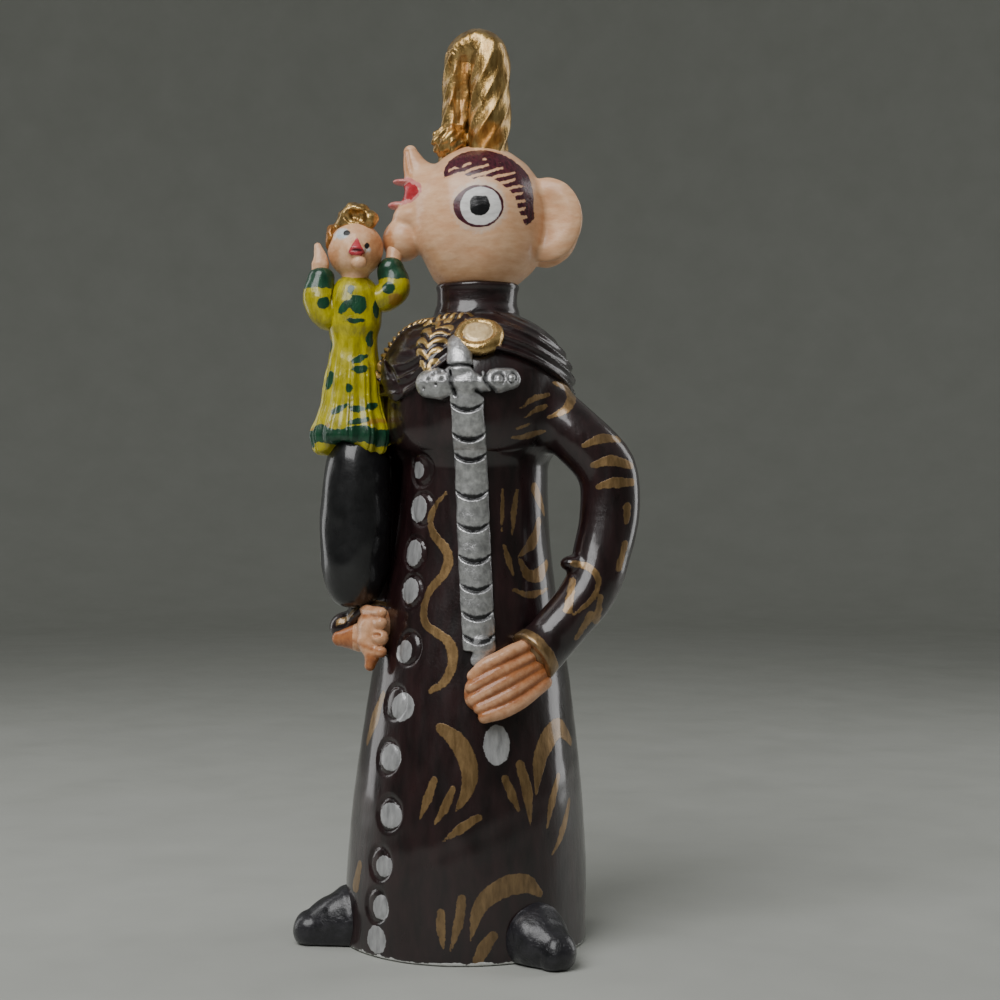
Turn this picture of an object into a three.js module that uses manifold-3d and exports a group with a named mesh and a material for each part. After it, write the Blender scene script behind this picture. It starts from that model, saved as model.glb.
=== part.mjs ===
// A painted clay statuette, fired as one piece: a robed figure with its head thrown back under a tall
// curl of hair, a cross on a scaled ribbon, and a small companion held on its right arm.
// Millimetres, +Z up. The origin is the centre of the robe's flat foot, and the front faces -Y.

import * as THREE from "three";
import { mergeVertices } from "three/addons/utils/BufferGeometryUtils.js";
import Module from "manifold-3d";

// Pose of the whole figure
const gazeTurn = 25; // degrees from the front to the side on which the head shows in profile
const lean = 0.02; // sideways lean, millimetres for each millimetre of height

// Robe
const robeHeight = 162;
const robeFootRadius = 40.8;
const robeWaistRadius = 24.8;

// Chest, a full egg that overhangs the waist
const chestRadius = 31.6;
const chestHeight = 52;
const waistOverlap = 2.5;

// Collar and mantle
const collarRadius = 13.6;
const collarHeight = 16;
const mantleThickness = 1.7;
const mantleDrop = 27;
const mantleRise = 15;
const mantleRidges = 3;

// Brooch on the mantle
const broochRadius = 8.2;
const broochRimRadius = 2;
const broochBossRadius = 5;
const broochTilt = 47;

// Cross and the scaled ribbon that hangs from it
const crossAzimuth = 20;
const crossThickness = 4.4;
const crossTopLength = 19;
const crossArmLength = 19;
const crossArmWidth = 11;
const ribbonLength = 86;
const ribbonWidth = 13.4;
const ribbonTurn = 11; // degrees that the ribbon's foot swings round the robe
const ribbonScales = 9;

// Arms and hands
const armRadius = 9.7;
const armReach = 21; // how far the elbows stand out from the robe
const forearmReach = 22.5; // how far the left forearm comes forward before the hand
const cuffRadius = 8.6;
const handLength = 25;
const handSpread = 18;
const fingerRadius = 3.3;

// Buttons down the front, pressed into the clay
const buttonRadius = 4.8;
const buttonGroove = 0.7;

// Shoes
const shoeRadius = 11;
const shoeReach = 17;
const shoeAzimuth = 55;

// Head
const headRadius = 23.4;
const headHeight = 49;
const chinRadius = 7.2;
const noseLength = 13;
const lipLength = 11;
const earWidth = 12.5;
const earHeight = 14.2;
const earThickness = 3.6;
const browWidth = 7;
const browRise = 0.8;

// Curl of hair, a twisted roll bent into a tall arch
const curlHeight = 43;
const curlSpan = 9;
const curlRadius = 7;
const curlTwists = 2.2;

// Companion: a black bag-like skirt, a pleated dress, raised arms and a small head
const bagRadius = 12;
const bagHeight = 54;
const dressHeight = 58;
const dressHemRadius = 13.8;
const dressWaistRadius = 7.8;
const dressPleats = 12;
const sleeveRadius = 4.9;
const smallHeadRadius = 9.4;
const quiffRadius = 5.4;

const wasm = await Module();
wasm.setup();
const upward = new THREE.Vector3(0, 0, 1);
const halfTurn = Math.PI;

// Places on the figure

function around(azimuth, radius, height) {
  const angle = THREE.MathUtils.degToRad(azimuth);
  return new THREE.Vector3(radius * Math.sin(angle), -radius * Math.cos(angle), height);
}

// A place seen from the side on which the head is in profile: across to the right, away, and up.
function seen(across, away, height) {
  return new THREE.Vector3(across, away, height).applyAxisAngle(upward, THREE.MathUtils.degToRad(gazeTurn));
}

function robeRadius(height) {
  const share = THREE.MathUtils.clamp(height / robeHeight, 0, 1);
  const fall = (1 + Math.cos(halfTurn * Math.pow(share, 1.2))) / 2;
  return robeWaistRadius + (robeFootRadius - robeWaistRadius) * fall;
}

const chestMiddle = robeHeight - waistOverlap + chestHeight / 2;

// Half of a rounded profile: the radius at a height, as a share of the full one.
function fullness(share, power) {
  return Math.pow(Math.max(0, 1 - Math.pow(Math.abs(share), power)), 1 / power);
}

function chestRadiusAt(height) {
  const share = (height - chestMiddle) / (chestHeight / 2);
  return chestRadius * fullness(share, share > 0 ? 2 : 4);
}

function bodyRadius(height) {
  return Math.max(height < robeHeight ? robeRadius(height) : 0, chestRadiusAt(height));
}

function onRobe(azimuth, height, depth) {
  return around(azimuth, robeRadius(height) + depth, height);
}

// Closed forms

function solid(geometry) {
  geometry.deleteAttribute("normal");
  geometry.deleteAttribute("uv");
  const welded = mergeVertices(geometry, 1e-4);
  const corners = welded.index.array;
  const faces = [];
  for (let i = 0; i < corners.length; i += 3) {
    const face = [corners[i], corners[i + 1], corners[i + 2]];
    if (new Set(face).size === 3) {
      faces.push(...face);
    }
  }
  const mesh = new wasm.Mesh({
    numProp: 3,
    vertProperties: welded.attributes.position.array,
    triVerts: new Uint32Array(faces),
  });
  return new wasm.Manifold(mesh);
}

function bend(geometry, move) {
  const places = geometry.attributes.position;
  const place = new THREE.Vector3();
  for (let i = 0; i < places.count; i += 1) {
    place.fromBufferAttribute(places, i);
    const moved = move(place.clone());
    places.setXYZ(i, moved.x, moved.y, moved.z);
  }
  return geometry;
}

function between(values, share) {
  const place = share * (values.length - 1);
  const index = Math.min(Math.floor(place), values.length - 2);
  return THREE.MathUtils.lerp(values[index], values[index + 1], place - index);
}

// A form thrown round the upright axis: pairs of radius and height, from the bottom up.
function thrown(profile, sides) {
  const points = profile.map(([radius, height]) => new THREE.Vector2(radius, height));
  return new THREE.LatheGeometry(points, sides).rotateX(halfTurn / 2);
}

// An egg with its own fullness above and below its widest ring.
function egg({ radius, up, down, powerUp = 2, powerDown = 2, sides = 24, rows = 10 }) {
  const profile = [];
  for (let i = 0; i <= rows; i += 1) {
    const angle = halfTurn * (i / rows - 0.5);
    const power = angle > 0 ? powerUp : powerDown;
    const height = Math.sign(angle) * Math.pow(Math.abs(Math.sin(angle)), 2 / power);
    const width = i === 0 || i === rows ? 0 : Math.pow(Math.cos(angle), 2 / power);
    profile.push([radius * width, height * (angle > 0 ? up : down)]);
  }
  return thrown(profile, sides);
}

function ball(sizes, place, { turn = new THREE.Euler(), sides = 12, rows = 8 } = {}) {
  const matrix = new THREE.Matrix4().compose(place, new THREE.Quaternion().setFromEuler(turn), sizes);
  return solid(egg({ radius: 1, up: 1, down: 1, sides, rows }).applyMatrix4(matrix));
}

// A roll of clay along a path, thick as the widths say, with round ends.
function roll(path, widths, options = {}) {
  const { sides = 10, rows = 8, flat = 1, facing = upward, blunt = 0.14, even = false, shape } = options;
  const curve = new THREE.CatmullRomCurve3(path);
  const profile = [];
  for (let i = 0; i <= rows; i += 1) {
    const share = even ? i / rows : (1 - Math.cos((halfTurn * i) / rows)) / 2;
    profile.push(new THREE.Vector2(i === 0 || i === rows ? 0 : 1, share));
  }
  return solid(bend(new THREE.LatheGeometry(profile, sides), (place) => {
    const share = THREE.MathUtils.clamp(place.y, 0, 1);
    const end = Math.min(1, share / blunt, (1 - share) / blunt);
    const tangent = curve.getTangentAt(share);
    const lift = facing.clone().addScaledVector(tangent, -facing.dot(tangent)).normalize();
    const side = tangent.clone().cross(lift);
    const angle = Math.atan2(place.x, place.z);
    const round = Math.sqrt(1 - (1 - end) ** 2) * (shape ? shape(angle, share) : 1);
    const radius = between(widths, share) * round;
    const centre = curve.getPointAt(share);
    return centre.addScaledVector(side, place.x * radius).addScaledVector(lift, place.z * radius * flat);
  }));
}

function joined(forms) {
  return forms.reduce((whole, form) => whole.add(form));
}

// Robe, chest and collar

function robe() {
  const rows = 7;
  const profile = [[0, 0]];
  for (let i = 0; i <= rows; i += 1) {
    const height = (robeHeight * i) / rows;
    profile.push([robeRadius(height), height]);
  }
  profile.push([0, robeHeight]);
  return solid(thrown(profile, 28));
}

function chest() {
  const half = chestHeight / 2;
  const size = { radius: chestRadius, up: half, down: half };
  const form = egg({ ...size, powerUp: 2, powerDown: 4, sides: 24, rows: 9 });
  return solid(form.translate(0, 0, chestMiddle));
}

const chestTop = chestMiddle + chestHeight / 2;
const collarTop = chestTop + collarHeight * 0.6;

function collar() {
  const bottom = collarTop - collarHeight;
  const flare = collarRadius * 1.12;
  const inside = [[0, bottom], [flare, bottom]];
  const profile = [...inside, [collarRadius, bottom + 4], [collarRadius, collarTop], [0, collarTop]];
  return solid(thrown(profile, 16));
}

// Mantle: a cape over the shoulders, low at the back and lifted to the brooch in front

const broochAzimuth = gazeTurn + 1.5;

function mantleEdge(azimuth) {
  const away = THREE.MathUtils.euclideanModulo(azimuth - broochAzimuth + 180, 360) - 180;
  const reach = away > 0 ? 100 : 50;
  const lift = (1 + Math.cos(halfTurn * Math.min(1, Math.abs(away) / reach))) / 2;
  return chestTop - mantleDrop + mantleRise * lift;
}

function mantle() {
  const rows = mantleRidges * 2;
  const profile = [[0, 0]];
  for (let row = 0; row <= rows + 1; row += 1) {
    profile.push([1, row + 1]);
  }
  profile.push([0, rows + 3]);
  const points = profile.map(([radius, row]) => new THREE.Vector2(radius, -row));
  points.reverse();
  const geometry = new THREE.LatheGeometry(points, 24);
  return solid(bend(geometry, (place) => {
    const row = Math.round(-place.y) - 1;
    const azimuth = THREE.MathUtils.radToDeg(Math.atan2(place.x, place.z));
    const edge = mantleEdge(azimuth);
    if (row < 0) {
      return new THREE.Vector3(0, 0, chestTop - 1);
    }
    if (row > rows + 1) {
      return new THREE.Vector3(0, 0, chestTop - mantleDrop);
    }
    if (row > rows) {
      return around(azimuth, chestRadiusAt(edge) - 3, edge + 1);
    }
    const height = THREE.MathUtils.lerp(chestTop - 1, edge, row / rows);
    const ridge = row % 2 === 1 || row === rows ? 1.35 : 0.75;
    return around(azimuth, chestRadiusAt(height) + mantleThickness * ridge, height);
  }));
}

// Brooch: a rim, a dished bed and a boss, tilted up against the collar

function brooch() {
  const height = chestTop - mantleDrop + mantleRise + broochRadius * 0.45;
  const centre = around(broochAzimuth, chestRadiusAt(height) + 1, height);
  const lie = THREE.MathUtils.degToRad(broochTilt);
  const tilt = new THREE.Euler(lie, 0, THREE.MathUtils.degToRad(broochAzimuth), "ZYX");
  const turn = new THREE.Matrix4().makeRotationFromEuler(tilt).setPosition(centre);
  const rim = new THREE.TorusGeometry(broochRadius - broochRimRadius, broochRimRadius, 5, 14);
  const bed = egg({ radius: broochRadius - broochRimRadius, up: 1, down: 9, sides: 10, rows: 4 });
  const boss = egg({ radius: broochBossRadius, up: 2.4, down: 3, powerUp: 3, sides: 10, rows: 4 });
  return joined([rim, bed, boss].map((form) => solid(form.applyMatrix4(turn))));
}

// Cross and ribbon

const crossHeight = chestMiddle + 1;

function crossPlace(sideways, height, depth) {
  const reach = THREE.MathUtils.clamp((crossHeight - height) / ribbonLength, 0, 1);
  const radius = bodyRadius(height);
  const azimuth = crossAzimuth + ribbonTurn * reach + THREE.MathUtils.radToDeg(sideways / radius);
  return around(azimuth, radius + depth, height);
}

function ribbonDepth(share) {
  const height = crossHeight - ribbonLength * share;
  const hung = chestRadius * (1.02 - 0.3 * Math.min(1, share * 2));
  return Math.max(bodyRadius(height), hung) + crossThickness * 0.1;
}

function ribbonPlace(share, depth) {
  const height = crossHeight - ribbonLength * share;
  return around(crossAzimuth + ribbonTurn * share, ribbonDepth(share) + depth, height);
}

function ribbon() {
  const path = [0, 0.12, 0.24, 0.4, 0.55, 0.7, 0.85, 1].map((share) => ribbonPlace(share, 0));
  const facing = around(crossAzimuth + ribbonTurn / 2, 1, 0);
  const half = ribbonWidth / 2;
  const back = roll(path, [half, half, half], { sides: 6, rows: 9, flat: 0.42, facing, blunt: 0.04 });
  const scales = [];
  for (let i = 0; i < ribbonScales; i += 1) {
    const start = i / ribbonScales + 0.02;
    const end = (i + 1) / ribbonScales + 0.02;
    const lap = [
      ribbonPlace(start, crossThickness * 0.25),
      ribbonPlace(Math.min(1, end), crossThickness * 0.6),
    ];
    scales.push(roll(lap, [half * 0.86, half * 0.86], { sides: 6, rows: 3, flat: 0.32, facing, blunt: 0.4 }));
  }
  return joined([back, ...scales]);
}

function cross() {
  const facing = around(crossAzimuth, 1, 0);
  const half = crossArmWidth / 2;
  const raise = crossThickness * 0.4;
  const middle = new THREE.Vector3(half * 1.1, crossThickness, half * 1.1);
  const centre = ball(middle, crossPlace(0, crossHeight, 0.8), {
    turn: new THREE.Euler(0, 0, THREE.MathUtils.degToRad(crossAzimuth)),
    sides: 10,
    rows: 4,
  });
  const top = [0, 0.5, 1].map((share) => crossPlace(-share * 4, crossHeight + crossTopLength * share, raise));
  const arms = [-1, 1].map((side) => [0.15, 0.55, 1].map((share) => {
    return crossPlace(side * crossArmLength * share, crossHeight + (side > 0 ? 1 : -3) * share, raise);
  }));
  const lobe = { sides: 7, rows: 5, flat: 0.75, facing, blunt: 0.3 };
  const bars = [
    roll(top, [half * 0.85, half * 0.8, half * 0.62], { sides: 7, rows: 4, flat: 0.7, facing }),
    roll(arms[0], [half * 0.6, half * 1.05, half * 0.95], lobe),
    roll(arms[1], [half * 0.6, half * 0.9, half * 0.75], lobe),
  ];
  return joined([centre, ...bars]);
}

// Arms: the left one stands off with its elbow out, the right one hugs the robe under the companion

const shoulderHeight = chestMiddle - 5;
const leftWristHeight = robeHeight * 0.63;
const rightWristHeight = robeHeight * 0.66;

function leftArm() {
  const drop = shoulderHeight - leftWristHeight;
  const elbow = robeWaistRadius + armReach;
  const facing = seen(0, -1, 0);
  const path = [
    seen(chestRadius * 0.66, -forearmReach * 0.4, shoulderHeight + 1),
    seen(chestRadius + armRadius * 0.15, -forearmReach * 0.62, shoulderHeight - drop * 0.13),
    seen(elbow - armRadius * 0.2, -forearmReach * 0.67, shoulderHeight - drop * 0.28),
    seen(elbow - armRadius * 0.05, -forearmReach * 0.73, shoulderHeight - drop * 0.46),
    seen(elbow - armRadius * 0.3, -forearmReach * 0.84, shoulderHeight - drop * 0.63),
    seen(elbow - armRadius * 0.77, -forearmReach, shoulderHeight - drop * 0.8),
    onRobe(gazeTurn + 43, leftWristHeight - 1, 5),
  ];
  const widths = [0.95, 0.97, 1.02, 1.02, 0.97, 0.9, 0.84].map((share) => share * armRadius);
  return roll(path, widths, { sides: 11, rows: 10, facing, blunt: 0.03 });
}

function rightArm() {
  const drop = shoulderHeight - rightWristHeight;
  const path = [
    seen(-chestRadius * 0.7, 4, shoulderHeight + 2),
    seen(-chestRadius - 2, 9, shoulderHeight - drop * 0.2),
    seen(-robeWaistRadius - armRadius * 0.8, 10, shoulderHeight - drop * 0.45),
    seen(-robeWaistRadius - armRadius * 0.8, 5, shoulderHeight - drop * 0.7),
    onRobe(gazeTurn - 92, rightWristHeight + 3, 4),
  ];
  const widths = [0.95, 1, 1, 0.95, 0.84].map((share) => share * armRadius);
  return roll(path, widths, { sides: 10, rows: 8, facing: seen(0, -1, 0), blunt: 0.03 });
}

function cuff(start, end) {
  const widths = [0.94, 1.02, 1.08, 1.04].map((share) => share * cuffRadius);
  return roll([start, end], widths, { sides: 12, rows: 4, blunt: 0.12 });
}

function degreesOnRobe(length, height) {
  return THREE.MathUtils.radToDeg(length / robeRadius(height));
}

// A hand laid flat on the robe: fingers side by side, parted by grooves, that sink away at the tips.
function hand({ azimuth, height, length, slope, fingers }) {
  const angle = THREE.MathUtils.degToRad(slope);
  const rolls = [];
  for (let finger = 0; finger < fingers; finger += 1) {
    const place = finger / (fingers - 1) - 0.5;
    const reach = length * (1 - 0.5 * place * place);
    const path = [0, 0.4, 0.75, 1].map((share, index) => {
      const off = place * handSpread * (0.6 + 0.3 * share);
      const along = reach * share * Math.cos(angle) + off * Math.sin(angle);
      const rise = reach * share * Math.sin(angle) - off * Math.cos(angle);
      const lift = [0.8, 1.1, 0.9, 0.3][index] * fingerRadius;
      return onRobe(azimuth + degreesOnRobe(along, height), height + rise, lift);
    });
    const widths = [1, 1.15, 1.1, 0.9].map((share) => share * fingerRadius);
    rolls.push(roll(path, widths, { sides: 6, rows: 4, blunt: 0.16 }));
  }
  return joined(rolls);
}

function hands() {
  const leftWrist = gazeTurn + 42;
  const rightWrist = gazeTurn - 88;
  const left = { azimuth: leftWrist, height: leftWristHeight - 7, slope: 180 + 30 };
  const right = { azimuth: rightWrist, height: rightWristHeight - 4, slope: -20 };
  return joined([
    hand({ ...left, length: handLength, fingers: 5 }),
    hand({ ...right, length: handLength * 0.62, fingers: 4 }),
    cuff(onRobe(leftWrist + 5, leftWristHeight + 1, 6), onRobe(leftWrist - 6, leftWristHeight - 4, 4)),
    cuff(onRobe(rightWrist - 8, rightWristHeight + 4, 5), onRobe(rightWrist + 3, rightWristHeight - 1, 3)),
  ]);
}

// Buttons: rings pressed into the front of the robe, spaced by hand

const buttonShares = [0.976, 0.896, 0.807, 0.73, 0.615, 0.506, 0.397, 0.288, 0.188, 0.103];
const buttonAzimuth = -18;

function buttonRings() {
  return joined(buttonShares.map((share, index) => {
    const height = robeHeight * share;
    const azimuth = buttonAzimuth + 3 * Math.sin(index * 2);
    const slope = robeRadius(height - 1) - robeRadius(height + 1);
    const outward = around(azimuth, 2, slope).normalize();
    const turn = new THREE.Quaternion().setFromUnitVectors(upward, outward);
    const size = new THREE.Vector3(1, 1, 1);
    const place = new THREE.Matrix4().compose(onRobe(azimuth, height, 0), turn, size);
    return solid(new THREE.TorusGeometry(buttonRadius, buttonGroove, 3, 8).applyMatrix4(place));
  }));
}

// Shoes under the hem

function shoe(azimuth) {
  const near = robeFootRadius - shoeRadius * 0.6;
  const far = robeFootRadius + shoeReach;
  const path = [around(azimuth, near, shoeRadius * 0.8), around(azimuth, far, shoeRadius * 0.3)];
  const widths = [1, 1, 0.85, 0.62].map((share) => share * shoeRadius);
  return roll(path, widths, { sides: 11, rows: 6, blunt: 0.35 });
}

// Head

const headMiddle = collarTop + headHeight * 0.45;

const headThin = 0.93; // the head's depth as a share of its width
const skullTop = headHeight * 0.52;
const skullPower = 1.95;

function skull() {
  const up = skullTop;
  const down = headHeight * 0.52;
  const form = egg({ radius: headRadius, up, down, powerUp: skullPower, powerDown: 2.3, sides: 20, rows: 9 });
  form.scale(1, headThin, 1).rotateZ(THREE.MathUtils.degToRad(gazeTurn));
  return solid(form.translate(0, 0, headMiddle));
}

function face() {
  const front = -headRadius;
  const facing = seen(0, 0, 1);
  const muzzlePlace = seen(front + 6.5, 0, headMiddle + 8);
  const muzzle = ball(new THREE.Vector3(9, 8.5, 10), muzzlePlace, { sides: 10, rows: 6 });
  const nose = roll(
    [
      seen(front + 5, 0, headMiddle + 14),
      seen(front + 1, 0, headMiddle + 20),
      seen(front - 1, 0, headMiddle + 14 + noseLength),
    ],
    [7, 5.4, 3],
    { sides: 9, rows: 5, facing: seen(0, 1, 0), flat: 0.8, blunt: 0.2 },
  );
  const upper = roll(
    [seen(front + 4, 0, headMiddle + 11), seen(front + 4 - lipLength, 0, headMiddle + 14)],
    [6, 5.2, 3.2],
    { sides: 8, rows: 5, facing, flat: 0.42, blunt: 0.3 },
  );
  const lower = roll(
    [seen(front + 4, 0, headMiddle + 7.5), seen(front + 2.4 - lipLength, 0, headMiddle + 6)],
    [6, 5.2, 3.2],
    { sides: 8, rows: 5, facing, flat: 0.42, blunt: 0.3 },
  );
  const chinSize = new THREE.Vector3(chinRadius, chinRadius * 1.05, chinRadius);
  const chin = ball(chinSize, seen(front - 2, 0, headMiddle - 5.5), { sides: 10, rows: 6 });
  return joined([muzzle, nose, upper, lower, chin]);
}

function ear(side) {
  const place = seen(headRadius - 1, side * 6, headMiddle - 0.8);
  const turn = new THREE.Euler(0, 0, THREE.MathUtils.degToRad(gazeTurn + side * 14));
  const dish = ball(new THREE.Vector3(earWidth, earThickness, earHeight), place, { turn, sides: 14, rows: 5 });
  const hollowPlace = seen(headRadius, side * (6 + earThickness * 1.45), headMiddle - 0.8);
  const hollow = ball(
    new THREE.Vector3(earWidth * 0.86, earThickness, earHeight * 0.86),
    hollowPlace,
    { turn, sides: 10, rows: 4 },
  );
  return dish.subtract(hollow);
}

// A broad crescent over each eye, from the bridge of the nose back to the ear.
function brow(side) {
  const reach = headRadius - browWidth / 2 - 1.5;
  const path = [0, 0.25, 0.5, 0.75, 1].map((share) => {
    const angle = halfTurn * (0.86 - 0.9 * share);
    const across = 4.5 + Math.cos(angle) * (reach - 3);
    const height = 4 + Math.sin(angle) * (reach - 1.8);
    const rise = headRadius * fullness(height / skullTop, skullPower);
    const depth = Math.sqrt(Math.max(0, rise ** 2 - across ** 2)) * headThin + browRise * 0.3;
    return seen(across, side * depth, headMiddle + height);
  });
  const widths = [0.3, 0.85, 1, 0.8, 0.3].map((share) => (share * browWidth) / 2);
  const facing = seen(0.25, side, 0.5);
  return roll(path, widths, { sides: 6, rows: 7, flat: browRise / 2, facing, blunt: 0.1 });
}

// Curl of hair: two legs of a lobed, twisted roll that touch all the way up

function curl() {
  const foot = headMiddle + headHeight * 0.46;
  const bendHeight = foot + curlHeight - curlRadius - curlSpan / 2;
  const middle = -2.2;
  const arc = [0, 0.25, 0.5, 0.75, 1].map((share) => {
    const across = middle + (curlSpan / 2) * Math.cos(halfTurn * share);
    const height = bendHeight + (curlSpan / 2) * Math.sin(halfTurn * share);
    return seen(across, 2 * (2 * share - 1), height);
  });
  const right = middle + curlSpan / 2;
  const left = middle - curlSpan / 2;
  const path = [
    seen(right - 0.4, -2.5, foot - 4),
    seen(right + 0.6, -2.5, (foot + bendHeight) / 2),
    ...arc,
    seen(left - 1.2, 2, (foot + bendHeight) / 2),
    seen(left - 2.6, 2, foot - 4),
  ];
  const twist = 2 * halfTurn * curlTwists;
  const shape = (angle, share) => 1 + 0.07 * Math.cos(4 * angle - twist * share);
  const widths = [1, 1.02, 1, 0.94, 0.84, 0.78, 0.76].map((share) => share * curlRadius);
  const facing = seen(0.3, -1, 0);
  const arch = roll(path, widths, { sides: 10, rows: 20, facing, blunt: 0.02, even: true, shape });
  const lump = ball(new THREE.Vector3(5.6, 5.4, 5.6), seen(left - 2.2, 1, foot + 1.5), { sides: 8, rows: 5 });
  return arch.add(lump);
}

// Companion, held against the robe's right side and reaching up to the chin

const companionAcross = -robeWaistRadius - bagRadius - 2.5;
const companionAway = -5;
const bagBottom = rightWristHeight + 5;
const hemHeight = bagBottom + bagHeight;
const companionNeck = hemHeight + dressHeight;
const smallHeadMiddle = companionNeck + smallHeadRadius * 0.95;

function bag() {
  const middle = bagBottom + bagHeight * 0.5;
  const size = { radius: bagRadius, up: bagHeight * 0.62, down: bagHeight * 0.5 };
  const form = egg({ ...size, powerUp: 3, powerDown: 2.8, sides: 14, rows: 7 });
  form.scale(1, 1.05, 1);
  const place = seen(companionAcross, companionAway, middle);
  return solid(form.translate(place.x, place.y, place.z));
}

function dress() {
  const waist = hemHeight + dressHeight * 0.6;
  const bust = dressWaistRadius * 1.18;
  const profile = [
    [0, hemHeight + 2],
    [dressHemRadius * 0.96, hemHeight],
    [dressHemRadius, hemHeight + dressHeight * 0.09],
    [dressHemRadius * 0.79, hemHeight + dressHeight * 0.24],
    [dressHemRadius * 0.69, hemHeight + dressHeight * 0.4],
    [dressWaistRadius, waist],
    [bust, hemHeight + dressHeight * 0.72],
    [bust * 0.95, hemHeight + dressHeight * 0.88],
    [bust * 0.45, companionNeck],
    [0, companionNeck],
  ];
  const geometry = bend(thrown(profile, dressPleats * 2), (place) => {
    const angle = Math.atan2(place.x, -place.y);
    const skirt = THREE.MathUtils.clamp((waist - place.z) / (waist - hemHeight), 0, 1);
    const pleat = 1 + 0.05 * Math.min(1, skirt * 3) * Math.cos(dressPleats * angle);
    const wave = place.z < hemHeight + 4 ? 2 * Math.cos(3 * angle) : 0;
    return new THREE.Vector3(place.x * pleat, place.y * pleat * 0.86, place.z + wave);
  });
  geometry.rotateZ(THREE.MathUtils.degToRad(gazeTurn));
  const place = seen(companionAcross - 2, companionAway, 0);
  return solid(geometry.translate(place.x, place.y, 0));
}

function companionArms() {
  const across = companionAcross - 2;
  const shoulder = companionNeck - 8;
  const chin = headMiddle - 9;
  const widths = [0.8, 1.05, 1.15, 0.95].map((share) => share * sleeveRadius);
  const options = { sides: 8, rows: 6, facing: seen(0, -1, 0) };
  const outer = [
    seen(across - 5, companionAway, shoulder),
    seen(across - 9, companionAway - 1, shoulder - 5.5),
    seen(across - 12, companionAway - 1.5, shoulder + 1),
    seen(across - 11.5, companionAway - 1, shoulder + 9),
  ];
  const inner = [
    seen(across + 4, companionAway, shoulder + 0.5),
    seen(across + 9.5, companionAway, shoulder + 0.5),
    seen(across + 13.2, companionAway, shoulder + 5),
    seen(across + 12, companionAway, shoulder + 12),
  ];
  const outerHand = roll(
    [outer[3], seen(across - 11, companionAway - 1, shoulder + 20)],
    [2.2, 2.8, 1.8],
    { sides: 7, rows: 5, facing: seen(0, -1, 0), flat: 0.6, blunt: 0.3 },
  );
  const innerHand = roll(
    [inner[3], seen(-headRadius - 4, companionAway * 0.4, chin + 3)],
    [2.6, 2.9, 2.6],
    { sides: 8, rows: 5, facing: seen(0, -1, 0) },
  );
  return joined([roll(outer, widths, options), roll(inner, widths, options), outerHand, innerHand]);
}

function companionHead() {
  const across = companionAcross - 3.2;
  const round = new THREE.Vector3(smallHeadRadius, smallHeadRadius * 0.95, smallHeadRadius);
  const skullForm = ball(round, seen(across, companionAway, smallHeadMiddle), { sides: 12, rows: 8 });
  const neckPlace = seen(across, companionAway, companionNeck);
  const neck = ball(new THREE.Vector3(4.5, 4.5, 6), neckPlace, { sides: 8, rows: 4 });
  const front = companionAway - smallHeadRadius * 0.85;
  const chinPlace = seen(across + 2, front, smallHeadMiddle - 4);
  const chin = ball(new THREE.Vector3(3, 2.6, 2.4), chinPlace, { sides: 7, rows: 4 });
  const quiff = roll(
    [
      seen(across - quiffRadius * 0.55, companionAway + 2, smallHeadMiddle + smallHeadRadius * 0.6),
      seen(across + quiffRadius * 0.1, companionAway - 1, smallHeadMiddle + smallHeadRadius * 1.35),
      seen(across + quiffRadius * 0.83, companionAway - 4, smallHeadMiddle + smallHeadRadius * 0.95),
    ],
    [0.93, 1, 0.63].map((share) => share * quiffRadius),
    { sides: 8, rows: 6, facing: seen(0, -1, 0), flat: 0.8, blunt: 0.2 },
  );
  return joined([skullForm, neck, chin, quiff]);
}

// The whole piece

function statuette() {
  const body = joined([robe(), chest(), collar(), mantle(), shoe(-shoeAzimuth), shoe(shoeAzimuth + 5)]);
  const trim = joined([brooch(), cross(), ribbon()]);
  const limbs = joined([leftArm(), rightArm(), hands()]);
  const top = joined([skull(), face(), ear(-1), ear(1), brow(-1), brow(1), curl()]);
  const companion = joined([bag(), dress(), companionArms(), companionHead()]);
  const room = 4 * robeHeight;
  const aboveGround = solid(new THREE.BoxGeometry(room, room, room).translate(0, 0, room / 2));
  return joined([body.subtract(buttonRings()), trim, limbs, top, companion]).intersect(aboveGround);
}

function meshOf(name, form, material) {
  const result = form.getMesh();
  const geometry = new THREE.BufferGeometry();
  geometry.setAttribute("position", new THREE.BufferAttribute(new Float32Array(result.vertProperties), 3));
  geometry.setIndex(new THREE.BufferAttribute(new Uint32Array(result.triVerts), 1));
  const sway = seen(lean, 0, 0);
  bend(geometry, (place) => place.addScaledVector(sway, place.z));
  geometry.computeVertexNormals();
  const mesh = new THREE.Mesh(geometry, material);
  mesh.name = name;
  return mesh;
}

const paintedClay = new THREE.MeshStandardMaterial({ color: 0x2a1614, roughness: 0.22, metalness: 0 });
const figure = new THREE.Group();
figure.add(meshOf("statuette", statuette(), paintedClay));

export default figure;
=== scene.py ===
# %% [markdown]
# # A painted clay statuette
# The real object is one fired piece: forms pinched and rolled from clay, luted together, then
# painted and varnished. Here each painted region becomes one mesh. The forms are written as fields
# of distances, which blend into each other as wet clay does, and a skin is laid through their zeros.

# %% The frame
import itertools
import math
from functools import partial

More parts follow.
